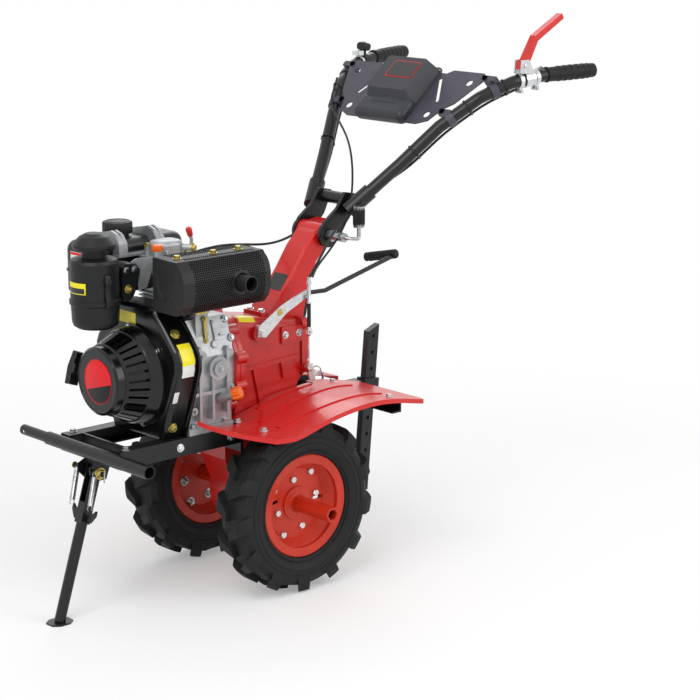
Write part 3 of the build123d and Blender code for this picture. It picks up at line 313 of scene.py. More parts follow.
def piece(name, grids, mat, body="chassis", crease=32):
    """Joins closed grids into one object in metres; each quad runs row to row and column to column."""
    verts, quads, start = [], [], 0
    for grid in grids:
        rows, cols = grid.shape[:2]
        index = start + np.arange(rows * cols).reshape(rows, cols)
        beside = np.roll(index, -1, axis=1)
        quads.append(np.stack([index[:-1], index[1:], beside[1:], beside[:-1]], axis=-1).reshape(-1, 4))
        verts.append(grid.reshape(-1, 3))
        start += rows * cols
    mesh = bpy.data.meshes.new(name)
    mesh.from_pydata((np.concatenate(verts) / 1000).tolist(), [], np.concatenate(quads).tolist())
    shell = bmesh.new()
    shell.from_mesh(mesh)
    bmesh.ops.remove_doubles(shell, verts=shell.verts, dist=1e-6)
    bmesh.ops.dissolve_degenerate(shell, edges=shell.edges, dist=1e-7)
    bmesh.ops.recalc_face_normals(shell, faces=shell.faces)
    shell.to_mesh(mesh)
    shell.free()
    mesh.shade_smooth()
    mesh.set_sharp_from_angle(angle=math.radians(crease))
    mesh.materials.append(mat)
    obj = bpy.data.objects.new(name, mesh)
    bpy.context.collection.objects.link(obj)
    if body:
        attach(obj, body)
    return obj


def mirrored(spots):
    """Each (place, normal), and the same on the other side of the machine, where y changes sign."""
    return [((x, s * y, z), (nx, s * ny, nz)) for (x, y, z), (nx, ny, nz) in spots for s in (1, -1)]


# A bolt's head height, washer radius and thread radius, all over its width across the flats
HEAD_HIGH, WASHER_WIDE, THREAD_WIDE = 0.48, 0.82, 0.31


def hex_bolt(place, normal, across, washer, tail):
    """Hexagon head on a washer, sunk half a millimetre; with a tail it is a nut and the bolt's end."""
    r = across / math.sqrt(3)
    foot = 1.3 if washer else -0.5
    top = foot + across * HEAD_HIGH
    head = [(foot - 1, 0), (foot - 1, r), (top - 1.2, r), (top, r * 0.88), (top, 0)]
    grids = [turned(place, normal, head, 6)]
    if washer:
        wide = across * WASHER_WIDE
        disc = [(-0.5, 0), (-0.5, wide), (1.1, wide), (1.5, wide - 0.5), (1.5, 0)]
        grids.append(turned(place, normal, disc, 20))
    if tail:
        thread = across * THREAD_WIDE
        end = [(top - 1, 0), (top - 1, thread), (top + tail - 1, thread), (top + tail, thread - 1),
               (top + tail, 0)]
        grids.append(turned(place, normal, end, 12))
    return grids


def bolts(name, spots, mat, across, body="chassis", washer=True, tail=0.0):
    """One object of hexagon bolts, each at (x, y, z) facing its (nx, ny, nz)."""
    grids = [g for place, normal in spots for g in hex_bolt(place, normal, across, washer, tail)]
    return piece(name, grids, mat, body, crease=25)


# Wheels: two circles of bolts in each disc by (radius, angle), the valve's slot, the weld at the hub and the
# dark hub bore
DISC_BOLTS = ((59, 80), (59, 167), (59, 255), (59, 347), (80, 32), (80, 122), (80, 212), (80, 301))
WELD_RADIUS, WELD_BEADS = 21.0, 26
for side, s in SIDES:
    body = side + "_wheel"
    spots = [(x, AXLE_Z + z) for x, z in (polar(r, angle) for r, angle in DISC_BOLTS)]
    heads = [((x, s * 175, z), (0, s, 0)) for x, z in spots]
    bolts(body + "_bolt_heads", heads, bright_zinc, 14.5, body, washer=False)
    bolts(body + "_nuts", [((x, s * 169, z), (0, -s, 0)) for x, z in spots], zinc, 14.5, body, tail=4.0)
    # the valve's slot is a near black pad: painted shade where the slot opens
    slot = pad((68, s * 175, 218), (0, s, 0), (0.2, 0, 1), rounded(27, 6.6, 3.2), [(-1, 1), (0.35, 1)])
    piece(body + "_valve_slot", [slot], slot_black, body)
    t = np.linspace(0, 2 * np.pi, 97)
    ripple = WELD_RADIUS + 0.5 * np.cos(WELD_BEADS * t)
    weld = np.column_stack([ripple * np.cos(t), np.full(97, s * 178.6), AXLE_Z + ripple * np.sin(t)])
    piece(body + "_hub_weld", [carried(weld, circle(3.0, 8), up=LEFT)], rim_coat, body)
    # the hub bore is a near black plug: painted shade inside the bore
    bore = [(-6, 0), (-6, 13.4), (2, 13.4), (2, 0)]
    piece(body + "_hub_bore", [turned((0, s * 283, AXLE_Z), (0, s, 0), bore, 6, phase=math.pi / 6)],
          slot_black, body)

# Tyre sidewalls: three moulded ribs on each, by (radius, wire, distance from the tyre's middle)
RIBS = ((149.5, 3.0, 48.6), (162.0, 2.2, 48.3), (129.0, 2.4, 44.8))
for side, s in SIDES:
    ribs = [ring_about((0, s * TRACK_HALF + face * out, AXLE_Z), LEFT, radius, wire, steps=96, sides=6)
            for face in (1, -1) for radius, wire, out in RIBS]
    piece(side + "_wheel_sidewall_ribs", ribs, tyre_rubber, side + "_wheel")

# Fenders: bolt heads on washers
FENDER_BOLTS = [((111.7, 102, 404.7), (0.05, 0, 1)), ((118, 203, 404.6), (0.03, 0, 1)),
                ((-211, 66, 437.4), (-0.14, 0, 1)), ((-211, 262, 437.4), (-0.14, 0, 1))]
for side, s in SIDES:
    bolts(side + "_fender_bolts", [((x, s * y, z), n) for (x, y, z), n in FENDER_BOLTS], bright_zinc, 12)

# Gear casing: bolts behind the bell flange, in the rear cover, the side pads and the axle casing, and the
# dark joint of the rear cover
ears = [((98, y, CRANK_Z + z), BACK) for y, z in (polar(116, angle) for angle in (78, 45, 12, -21, -52))]
bolts("bell_bolts", mirrored(ears), bright_zinc, 12)
cover = [((-142, 54, 486), BACK), ((-142, 54, 590), BACK), ((-147.5, 34, 560), BACK)]
bolts("rear_cover_bolts", mirrored(cover), bright_zinc, 12)
pads = [((-66, 64, 573), LEFT), ((-108, 64, 573), LEFT), ((-30, 58, 412), LEFT)]
bolts("casing_side_bolts", mirrored(pads), bright_zinc, 11)
caps = [((x, 46, AXLE_Z + z), LEFT) for x, z in (polar(58, angle) for angle in (45, 135, 225, 315))]
bolts("axle_casing_bolts", mirrored(caps), zinc, 11)
for side, s in SIDES:
    seam = np.linspace((-118.2, s * 61.2, 604), (-118.2, s * 61.2, 469), 14)
    piece("cover_gasket_" + side, [carried(seam, rounded(1.6, 1.6, 0.7, 3), up=FRONT)], slot_black)

# Casing label: a thin film on an arc about the rounded shoulder's own centre, carried along the box
SHOULDER = (32, -26)
FILM_OUTER, FILM_INNER = 26.6, 25.6
arc = np.linspace(97, 34, 12)
film = [np.column_stack(polar(FILM_OUTER, arc)), np.column_stack(polar(FILM_INNER, arc))[::-1]]
film = (np.concatenate(film) + SHOULDER) * [-1, 1]
stations = [(x, 0, 634 - (70 - x) * 15 / 94) for x in (62, 52, 42, 32, 22, 14)]
piece("casing_label", [carried(stations, film)], yellow_label)

# Blower housing: films carried up the facets of its side, each with its rear and front edge and its run of
# (y, z); a film on its face, bolts, the starter's smooth foot ring and flange bolts, and the rolled lip
HOUSING_LABELS = (
    ("yellow", 271, 306, yellow_label, [(144.9, 603), (143.6, 607), (139.5, 611.6), (133.0, 618.8)]),
    ("yellow_low", 271, 306, yellow_label, [(154.3, 574), (154.2, 583), (153.2, 586.6), (149, 595.8),
                                            (144.9, 604)]),
    ("white", 273, 306, white_label, [(150.6, 547), (153.6, 558.6), (154.3, 562), (154.3, 574)]),
    ("small", 303, 316, white_label, [(127.9, 487), (132.6, 499.6), (137.6, 513)]),
)
for name, rear, fore, mat, run in HOUSING_LABELS:
    path = [((rear + fore) / 2, y, z) for y, z in run]
    piece("housing_label_" + name, [carried(path, rounded(fore - rear, 0.9, 0.4, 3), up=(0, -1, 0))], mat)
face_film = pad((320, -41, 659), FRONT, (0, 0.02, 1), rounded(92, 27, 2.5),
                [(-0.4, 1), (0.35, 1), (0.5, 0.995)])
piece("housing_face_label", [face_film], yellow_label)
corner_bolts = [((295.5, 115.4, 638.4), (0, 0.75, 0.66)), ((298, 103.6, 424.2), (0, 0.93, -0.36))]
bolts("housing_bolts", mirrored(corner_bolts), yellow_zinc, 14)
foot_ring = [(-2, 90), (-2, 113), (4, 113.5), (8, 111), (30, 107), (36, 103.5), (38, 98), (38, 90), (-2, 90)]
piece("starter_base_ring", [turned((318, 0, CRANK_Z), FRONT, foot_ring, 72)], black_gloss)
flange = [((323, y, CRANK_Z + z), FRONT)
          for y, z in (polar(110, angle) for angle in (38, 98, 157, 230, 285))]
bolts("starter_flange_bolts", flange, zinc, 10)
half_lip = [(97, 402), (147, 520), (161, 560), (161, 584), (151, 607), (77, 692)]
lip = [(262.6, y, z) for y, z in half_lip] + [(262.6, -y, z) for y, z in half_lip[::-1]]
piece("housing_rolled_lip", [carried(flow(lip), circle(2.6, 8), up=FRONT)], black_gloss)

# Starter badge: a blank round film in two colours with a red rim
for name, mat, a0, a1, steps in (("upper", badge_red, 2, 210, 49), ("lower", badge_black, 211.5, 360.5, 37)):
    part = np.column_stack(polar(48.5, np.linspace(a0, a1, steps)))
    film = pad((424, 3, CRANK_Z), FRONT, UP, part, [(-0.5, 1), (0.7, 1), (0.9, 0.985)])
    piece("starter_badge_" + name, [film], mat)
piece("starter_badge_rim", [ring_about((424.5, 3, CRANK_Z), FRONT, 49.6, 1.7, steps=96)], badge_red)

# Muffler guard: bolts on its top, the pressed U, the rolled rims of its end plates, its holes, the outlet
bolts("guard_bolts", [((x, 133, 810), UP) for x in (300, 200, 129)], yellow_zinc, 13)
press = [(103, 784), (104, 760), (109, 738), (122, 724), (134, 724), (147, 738), (152, 760), (153, 784)]
press = flow([(332, y, z) for y, z in press])
piece("guard_pressing", [carried(press, circle(2.3, 8), up=FRONT)], heat_black)
RIM = [(76.4, 809.8), (167.4, 809.8), (187.4, 792.4), (195.8, 768.4), (195.8, 734.4), (187.4, 708.4),
       (169.4, 693.4), (76.4, 693.4)]
for name, x in (("front", 331.0), ("rear", 89.0)):
    rim = flow([(x, y, z) for y, z in RIM])
    piece("guard_%s_rim" % name, [carried(rim, circle(1.9, 8), up=FRONT)], heat_black)

HOLE_RADIUS, HOLE_PITCH = 1.95, 5.8
HOLE_HIGH, HOLE_DEEP = 0.12, 0.5
HOLES_FROM, HOLES_LONG = 104.5, 202


def guard_holes(profile):
    """The guard's round holes: low six-sided discs, in staggered rows along x and along the (y, z) profile.

    A disc stands HOLE_HIGH out of the sheet and starts HOLE_DEEP inside it. None is set on the strip that
    the top bolts hold, near the top's rounded edge, or round the outlet.
    """
    corner = np.array(profile, float)
    step = np.diff(corner, axis=0)
    length = np.linalg.norm(step, axis=1)
    row_pitch = HOLE_PITCH * math.sqrt(3) / 2
    rows = int(length.sum() / row_pitch)
    way = (np.arange(rows) + 0.5) * row_pitch
    span = np.searchsorted(np.cumsum(length), way).clip(0, len(step) - 1)
    rest = way - (np.cumsum(length) - length)[span]
    along = (step / length[:, None])[span]
    spot = corner[:-1][span] + along * rest[:, None]
    cols = int(HOLES_LONG / HOLE_PITCH)
    x = HOLES_FROM + HOLE_PITCH * (np.arange(cols)[None] + 0.5 * (np.arange(rows) % 2)[:, None])
    place = np.concatenate([x[..., None], np.repeat(spot[:, None], cols, axis=1)], axis=-1).reshape(-1, 3)
    out = np.repeat(np.column_stack([np.zeros(rows), -along[:, 1], along[:, 0]]), cols, axis=0)
    run = np.repeat(np.column_stack([np.zeros(rows), along]), cols, axis=0)
    on_strip = (np.abs(place[:, 1] - 133) < 15) & (place[:, 2] > 806)
    on_edge = np.abs(place[:, 1] - 170) + np.abs(place[:, 2] - 810) < 6
    at_outlet = (np.hypot(place[:, 0] - 170, place[:, 2] - 750) < 28) & (place[:, 1] > 180)
    keep = ~(on_strip | on_edge | at_outlet)
    place, out, run = place[keep, None], out[keep, None], run[keep, None]
    t = np.arange(6)[None, :, None] * np.pi / 3
    ring = HOLE_RADIUS * (np.cos(t) * np.array(FRONT, float) + np.sin(t) * run)
    low, high = place - HOLE_DEEP * out, place + HOLE_HIGH * out
    flat = np.zeros((1, 6, 1))
    return list(np.stack([low + flat, low + ring, high + ring, high + flat], axis=1))


GUARD = [(176, 697), (190, 712), (197, 736), (197, 766), (190, 788), (170, 810), (80, 810)]
# the holes are near black discs: painted shade seen through them
piece("guard_hole_field", guard_holes(GUARD), slot_black)
# a near black disc inside the outlet: painted shade in its bore
bore = [(-4, 0), (-4, 15.6), (1, 15.6), (1, 0)]
piece("outlet_dark_bore", [turned((170, 212, 750), LEFT, bore, 28)], slot_black)
piece("outlet_rolled_end", [ring_about((170, 228.2, 750), LEFT, 16.8, 3.0, steps=40)], heat_black)

# Fuel tank: fluted cap with its raised ring, and the blank label with a red band on its front end
tank_cap = [(0, 0), (0, 33.4), (2, 34.4), (23, 34.4), (25.8, 33), (26.8, 30), (26.8, 0)]
piece("tank_cap_grip", [turned((261, -136, 828), UP, tank_cap, 96, flutes=32, depth=1.1)], moulded_black)
piece("tank_cap_top", [ring_about((261, -136, 854.8), UP, 26.5, 2.0, steps=48)], moulded_black)
film = pad((376, -135, 786), FRONT, UP, rounded(44, 22, 2), [(-0.4, 1), (0.5, 1)])
piece("tank_label", [film], white_label)
film = pad((376.3, -135, 793), FRONT, UP, rounded(42, 6, 1), [(-0.3, 1), (0.5, 1)])
piece("tank_label_band", [film], badge_red)

# Air filter: its blank label, the latch, the lid's button, and the elbow and bracket between it and the head
FILTER_X, FILTER_Y = 404.0, -28.0
LATCH_AT = 84


def on_filter(angle, radius, z):
    """Point on the filter's can: radius * (cos, sin) of the angle about its upright axis."""
    x, y = polar(radius, angle)
    return np.stack([FILTER_X + x, FILTER_Y + y, np.broadcast_to(z, np.shape(angle))], axis=-1)


for name, a0, a1, z, thick, high, mat in (("frame", -26, 33, 742, 1.12, 25, yellow_label),
                                          ("field", -23, 30, 737.5, 1.92, 12, label_dark)):
    sweep = on_filter(np.linspace(a0, a1, 16), 54.2, z)
    piece("filter_label_" + name, [carried(sweep, rounded(thick, high, 0.5, 3))], mat)
latch_out = (*polar(1, LATCH_AT), 0)
latch = [(55, 772), (60, 765), (61, 752), (56.5, 742), (58, 728), (62.5, 716), (61, 704), (57, 698)]
latch = flow([on_filter(LATCH_AT, r, z) for r, z in latch], 5)
hinge = turned(on_filter(LATCH_AT, 52, 757), latch_out, [(0, 0), (0, 9), (11, 8), (13, 6), (13, 0)], 20)
piece("filter_latch", [carried(latch, rounded(13, 3.4, 1.4, 4), up=latch_out), hinge], moulded_black)
button = [(-1, 0), (-1, 15), (0.6, 14), (0.8, 0)]
piece("filter_lid_button", [turned((FILTER_X, FILTER_Y, 857.2), UP, button, 32)], moulded_black)
elbow = [(352, 702), (352, 778), (340, 787), (312, 782), (302, 770), (309, 735), (322, 708), (334, 700)]
elbow = plate(elbow, -46, [(0, 0.96), (2, 1), (46, 1), (49, 0.96)])
piece("filter_elbow", [elbow], moulded_black, crease=40)
bolts("elbow_bolts", [((340, 2.6, 771), LEFT), ((318, 2.6, 771), LEFT)], zinc, 9)
bolts("elbow_nut", [((336, 2.6, 728), LEFT)], yellow_zinc, 12, tail=4.0)
bracket = [(308, 792), (262, 790), (258, 782), (280, 724), (300, 720), (322, 786)]
piece("filter_bracket", [plate(bracket, -6, [(0, 1), (3, 1)])], cast_alu)

# Head: filler cap on its boss, cover nuts, the decompression lever's red knob, injector line, its fittings
boss = [(0, 0), (0, 10.5), (31, 10.5), (31, 0)]
piece("filler_boss", [turned((249, -4, 772), UP, boss, 24)], cast_alu)
filler = [(0, 0), (0, 11.6), (2, 12.4), (11, 12.4), (13.5, 11), (14, 9), (14, 0)]
piece("filler_cap", [turned((249, -4, 802), UP, filler, 60, flutes=15, depth=1.2)], orange_cap)
cover_nuts = [(175, -46, 806), (240, -50, 806), (175, 6, 786), (222, 30, 786), (180, 34, 786)]
bolts("rocker_cover_nuts", [(place, UP) for place in cover_nuts], yellow_zinc, 12)
bolts("lever_pivot_nut", [((165, 16, 802), (-0.45, 0.89, 0))], yellow_zinc, 13)
knob = [(0, 0), (0, 4.6), (3, 6.4), (16, 7.4), (21, 6.2), (22.4, 4), (22.4, 0)]
piece("lever_knob", [turned((168.5, 14, 828), (0.32, 0, 1), knob, 20)], lever_red)
line = flow([(204, 82, 684), (204, 82, 700), (206, 78, 716), (214, 70, 724), (226, 60, 736),
             (236, 46, 756), (240, 30, 776), (236, 14, 792), (228, 4, 800)])
piece("injector_line", [carried(line, circle(2.8, 10), up=(0.8, 0.6, 0.1))], zinc)
bolts("injector_nuts", [((204, 82, 684), UP)], yellow_zinc, 15, washer=False)
coil = ring_about((228, 92, 664), (0, 0.15, 1), 6.4, 1.7, turns=9, pitch=3.4, sides=6, steps=16)
piece("governor_spring", [coil], spring_steel)
flange = pad((204, 82, 669), UP, LEFT, rounded(46, 32, 9), [(-1, 1), (3.4, 1), (4, 0.97)])
piece("pump_flange", [flange], yellow_zinc)

# Crankcase: ribs and bosses cast on its upper left slope, the governor's lever, and the bolts of the case,
# the engine's feet, the rails and the front beam
SLOPE = (0, 0.948, 0.316)
BOSS_HIGH = 5.4


def on_slope(x, z):
    """Point on the crankcase's upper left slope, whose normal is SLOPE."""
    return np.array([x, (287.4 - 0.32 * z) / 0.95, z])


RIB_LEVELS = [(-2, 1), (3.4, 0.97), (4.4, 0.9)]
cast_ribs = [pad(on_slope(x, z), SLOPE, UP, rounded(wide, high, 1.8), RIB_LEVELS)
             for x, z, wide, high in ((154, 643, 30, 4.4), (150, 629, 40, 4.4), (143, 614, 30, 4.4),
                                      (171, 626, 4.6, 46), (159, 606, 34, 4.4))]
bosses = [on_slope(133, 645), on_slope(127, 603), on_slope(177, 595)]
boss = [(-3, 0), (-3, 9.4), (4, 8.6), (BOSS_HIGH, 7.4), (BOSS_HIGH, 0)]
piece("crankcase_cast_ribs", cast_ribs + [turned(place, SLOPE, boss, 24) for place in bosses], cast_alu)
boss_tops = [(place + np.array(SLOPE) * BOSS_HIGH, SLOPE) for place in bosses[:2]]
bolts("crankcase_slope_bolts", boss_tops, zinc, 8, washer=False)
lever = pad((198, 99, 632), LEFT, (0.08, 0, 1), rounded(8, 62, 3.6), [(-3, 1), (1.6, 1)])
piece("governor_lever", [lever], yellow_zinc)
bolts("governor_nuts", [((197, 100, 606), LEFT), ((200, 100, 656), LEFT)], yellow_zinc, 8)
case = [(178, 128, 544), (222, 117, 576), (138, 115, 493), (242, 115, 508), (243, 115, 453)]
bolts("crankcase_bolts", mirrored([(place, LEFT) for place in case]), zinc, 9)
bolts("engine_foot_bolts", mirrored([((x, 101, 413), UP) for x in (146, 238)]), zinc, 12)
bolts("rail_bolts", mirrored([((x, 112, 377), LEFT) for x in (140, 284)]), bright_zinc, 12)
bolts("front_beam_bolts", mirrored([((424, 101, 397), UP)]), zinc, 12)

# Oil filler: an orange disc with eight deep flutes on a short cast neck
NECK, NECK_WAY = (166.0, 98.0, 470.0), (-17.0, 38.0, 13.0)
KNOB, KNOB_WAY = (150.5, 135.0, 482.0), (-9.5, 19.0, 7.5)
knob = [(0, 0), (0, 13.5), (2, 15.3), (17, 15.3), (21, 13.6), (22, 11), (22, 0)]
plug = piece("oil_filler_plug", [turned(KNOB, KNOB_WAY, knob, 96, flutes=8, depth=3.0)], orange_cap)
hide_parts("oil_plug")
neck = [(0, 0), (0, 14.5), (12, 13.4), (36, 12.6), (41, 13.6), (43, 13.2), (43, 0)]
piece("oil_filler_neck", [turned(NECK, NECK_WAY, neck, 28)], cast_alu)

# Column: a blank dark film on its sloping front, and the bolts at its foot
film = pad((-96, 2, 687.3), (0.785, 0, 0.62), (-0.62, 0, 0.785), rounded(50, 44, 3),
           [(-0.5, 1), (0.6, 1), (0.8, 0.99)])
piece("column_plate", [film], label_dark)
bolts("column_foot_bolts", mirrored([((-30, 20, 626.5), (0.16, 0, 1))]), bright_zinc, 12)

# Stand: coil springs with hooks, the nuts of its pivot and spring pins, and its clip
WIRE, COILS, HOOK = 2.1, 34, 6.0
for name, s in SIDES:
    low, top = np.array([478.6, s * 34.0, 257.0]), np.array([461.0, s * 34.0, 336.0])
    long = np.linalg.norm(top - low)
    way = (top - low) / long
    coil = ring_about(low + way * 8, way, 5.4, WIRE, turns=COILS, pitch=(long - 16) / COILS, sides=6,
                      steps=14)
    hooks = [ring_about(low + way * 2.5, LEFT, HOOK, WIRE, turns=0.8, steps=24, start=2.2),
             ring_about(top - way * 2.5, LEFT, HOOK, WIRE, turns=0.8, steps=24, start=5.2)]
    spring = piece(name + "_coil_spring", [coil] + hooks, spring_steel, body=None)
    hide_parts(name + "_stand_spring")
    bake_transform(spring)
bolts("stand_pivot_nut", mirrored([((441, 25, 330), LEFT)]), yellow_zinc, 17)
bolts("spring_pin_heads", mirrored([((461, 43, 340), LEFT)]), yellow_zinc, 9)
clip = flow([(441, 40, 344), (441, 42, 334), (441, 41, 320), (444, 44, 312), (448, 46, 318), (443, 46, 328),
             (449, 48, 336)])
piece("stand_pivot_clip", [carried(clip, circle(1.1, 6), up=LEFT)], spring_steel)

# Lock crank: a black fluted knob on its zinc arm
knob = [(0, 0), (0, 9), (2, 12.8), (10, 14.3), (40, 14.6), (48, 13.4), (51.5, 10), (52.4, 0)]
knob = turned((-252, 114.3, 811), UP, knob, 120, flutes=20, depth=1.3)
piece("crank_knob", [knob], grip_rubber, "handlebar")

# Shift grip: a sleeve of fluted bands with a groove between each two
BAND_PITCH = 6.2
a, b = np.array([-455.0, 30.0, 712.0]), np.array([-434.0, -60.0, 694.0])
long = np.linalg.norm(b - a)
rings = [(0, 0), (0, 9.4), (2, 11.0)]
rings += [(4 + BAND_PITCH * k + d, r) for k in range(int((long - 12) / BAND_PITCH))
          for d, r in ((0, 11.7), (4.0, 11.7), (4.9, 10.6), (5.4, 10.6))]
rings += [(long - 3, 11.5), (long - 0.6, 9.6), (long, 0)]
sleeve = turned(a, b - a, rings, 72, flutes=18, depth=0.9)
knurl = piece("shift_knurled_grip", [sleeve], grip_rubber, crease=50)
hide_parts("shift_grip")

# Handlebar grips: moulded rubber with a flange, finger ribs and a domed end
GRIP_LONG, GRIP_RADIUS = 138.6, 17.4
RIB_HIGH, RIB_PITCH = 1.1, 17.5
h = np.concatenate([[-7, -7, -6, -2.4, -1.4], np.linspace(0, GRIP_LONG - 9, 92),
                    [GRIP_LONG - 5, GRIP_LONG - 2, GRIP_LONG - 0.4, GRIP_LONG]])
on_rib = (np.cos((h - 30) * 2 * np.pi / RIB_PITCH) > 0.1) & (h > 24) & (h < GRIP_LONG - 22)
r = GRIP_RADIUS + 0.5 * np.sin((h - 10) / 34) + RIB_HIGH * on_rib
r[:5] = [0, GRIP_RADIUS, 18.9, 18.9, 17.2]
r[-4:] = [16.6, 13.0, 7.0, 0]
sleeve = np.column_stack([h, r])
for name, s in SIDES:
    grip = turned((-688, s * 302, 1153), (-124, s * 26, 4), sleeve, 72, flutes=24, depth=0.45)
    rubber = piece(name + "_moulded_grip", [grip], grip_rubber, "handlebar", crease=40)
    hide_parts(name + "_grip")

# Bars: cable ties, clamp bands with lugs and bolts, the levers' stop, and the throttle's clamp and knob
BAR = np.array([(-266, 67, 847), (-366, 134, 952), (-442, 186, 1038), (-521, 240, 1105), (-596, 279, 1141),
                (-688, 302, 1153), (-812, 328, 1157)], float)
UNDER, OVER = (-17.2, 0, -15.8), (15.5, 0, 19.0)
TIE_ON_BAR, TIE_ON_CABLE = 16.7, 4.0
TIES, BOTH_CABLES = (-392, -497, -575), (-497, -1)
CLAMPS = (-612, -655)


def on_bar(x, s):
    """Point and direction of a bar's axis at x, by straight runs between its corners."""
    y, next_y = np.interp((-x, 6 - x), -BAR[:, 0], BAR[:, 1])
    z, next_z = np.interp((-x, 6 - x), -BAR[:, 0], BAR[:, 2])
    return np.array([x, s * y, z]), unit([-6, s * (next_y - y), next_z - z])


def strap(x, s, reach, outline, beside=(), steps=36):
    """A strap pulled tight round a bar and the cables beside it.

    In each direction out of the bar it lies on the circle that reaches furthest, the bar's or a cable's.
    """
    place, way = on_bar(x, s)
    a, b = square_to(way)
    t = np.linspace(0, 2 * np.pi, steps + 1)
    out = np.cos(t)[:, None] * a + np.sin(t)[:, None] * b
    middles = np.array([(0, 0, 0), *beside], float)
    middles = middles - (middles @ way)[:, None] * way
    radii = np.array([reach] + [TIE_ON_CABLE] * len(beside))
    best = (out @ middles.T + radii).argmax(axis=1)
    return carried(place + middles[best] + radii[best][:, None] * out, outline, up=out)


for name, s in SIDES:
    ties = [strap(x, s, TIE_ON_BAR, rounded(5.0, 1.4, 0.56, 3),
                  (UNDER, OVER) if (x, s) == BOTH_CABLES else (UNDER,), 60) for x in TIES]
    piece(name + "_cable_ties", ties, moulded_black, "handlebar")
clamps = [strap(x, 1, 16.4, rounded(11, 2.4, 0.96, 3)) for x in CLAMPS]
for x in CLAMPS:
    place = on_bar(x, 1)[0]
    clamps.append(turned(place + (0, 6, -27), LEFT, [(-16, 0), (-16, 4.2), (4, 4.2), (4, 0)], 12))
    clamps += [pad(place + (0, 0, -21), LEFT, UP, rounded(11, 18, 3), [(inner, 1), (inner + 3, 1)])
               for inner in (-5, 2)]
piece("lever_clamp_bands", clamps, bright_zinc, "handlebar")
heads = [(on_bar(x, 1)[0] + (0, 5, -26), LEFT) for x in CLAMPS]
bolts("lever_clamp_bolts", heads, bright_zinc, 9, "handlebar", washer=False)
p = on_bar(-634, 1)[0]
heads = [(p + (22, s * 12, 33), (0, s, 0)) for s in (1, -1)]
bolts("lever_pivot_bolts", heads, bright_zinc, 11, "handlebar")
stop = [(p[0] + x, p[2] + z) for x, z in ((-6, 22), (-34, 30), (-44, 24), (-40, 17), (-10, 15))]
piece("lever_stop", [plate(stop, p[1] - 8, [(0, 1), (16, 1)])], bright_zinc, "handlebar", crease=25)
q = on_bar(-634, -1)[0]
block = pad(q + (16, 0, 20), UP, FRONT, rounded(26, 22, 5), [(-3, 1), (8, 1), (9, 0.94)])
piece("throttle_clamp", [strap(-620, -1, 16.6, rounded(9, 2.6, 1.04, 3)), block], bright_zinc, "handlebar")
knob = pad(q + (-4, 0, 38), (1, 0, 0.2), UP, rounded(30, 20, 8), [(-12, 0.9), (-9, 1), (9, 1), (12, 0.9)])
piece("throttle_knob", [knob], moulded_black, "handlebar", crease=45)

# Console: a blank label in a red frame, a scooped step, the moulded border of the cover, the plate's bolts
slope = math.radians(41.5)
CONSOLE = np.array([-437.0, 0, 1048.9])
OUT = np.array([math.sin(slope), 0, math.cos(slope)])
RISE = np.array([-math.cos(slope), 0, math.sin(slope)])


def on_console(u, v, w):
    """Point on the console: u across to the left, v up the slope, w out of it."""
    return CONSOLE + RISE * v + OUT * w + np.array([0, u, 0])


for name, w, size, mat in (("label_frame", 46, (92, 52, 6), badge_red),
                           ("label", 46.4, (88, 48, 5), label_dark)):
    film = pad(on_console(12, 112, w), OUT, RISE, rounded(*size), [(-0.5, 1), (0.6, 1)])
    piece("console_" + name, [film], mat, "handlebar")
tread = pad(on_console(0, 31, 26), OUT, RISE, rounded(104, 30, 9), [(-2, 1), (3, 0.97), (4.5, 0.9)])
piece("console_step", [tread], grey_abs, "handlebar", crease=45)
edge = rounded(170, 152, 15)
border = [on_console(u, v + 86, 4.0) for u, v in (*edge, edge[0])]
piece("console_border", [carried(border, rounded(5.0, 3.4, 1.3, 3), up=OUT)], grey_abs, "handlebar")
heads = [(on_console(s * u, v, 2.5), OUT) for s in (1, -1) for u, v in ((176, 33), (231, 149))]
bolts("console_bolts", heads, slot_black, 9, "handlebar")


# Cables: smooth tubes along the bars and down to the casing
def cable(name, points, stands_for, thick=6.2):
    """A round sleeve through the points, in place of the given nodes."""
    tube = carried(flow(points, 9), circle(thick / 2, 12), up=(0.3, -0.4, 0.85))
    obj = piece(name, [tube], cable_black, body=None)
    if stands_for:
        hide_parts(*stands_for)
    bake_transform(obj)


def along_bar(s, xs, offset):
    """Points beside a bar, set off from its axis."""
    return [on_bar(x, s)[0] + offset for x in xs]


near = along_bar(1, (-600, -560, -521, -480, -442, -400, -366), UNDER)
near += [(-326, 112, 906), (-264, 92, 850), (-210, 84, 816), (-184, 84, 784), (-158, 84, 747),
         (-134, 84, 719), (-122, 84, 702)]
cable("clutch_cable_run", near, ("clutch_cable",))
far = along_bar(-1, (-596, -560, -521, -480, -442, -400, -366), UNDER)
far += [(-334, -112, 880), (-300, -92, 826), (-262, -88, 786), (-200, -84, 764), (-120, -66, 762),
        (-40, -46, 776), (40, -26, 788), (110, -14, 788), (168, -6, 782)]
cable("throttle_cable_run", far, ("throttle_cable",))
second = along_bar(-1, (-520, -480, -442), OVER)
second += [(-398, -96, 1010), (-352, -20, 966), (-300, 42, 900), (-248, 84, 830), (-196, 92, 776),
           (-152, 90, 738), (-134, 92, 722), (-126, 92, 706)]
cable("second_cable_run", second, (), 5.2)

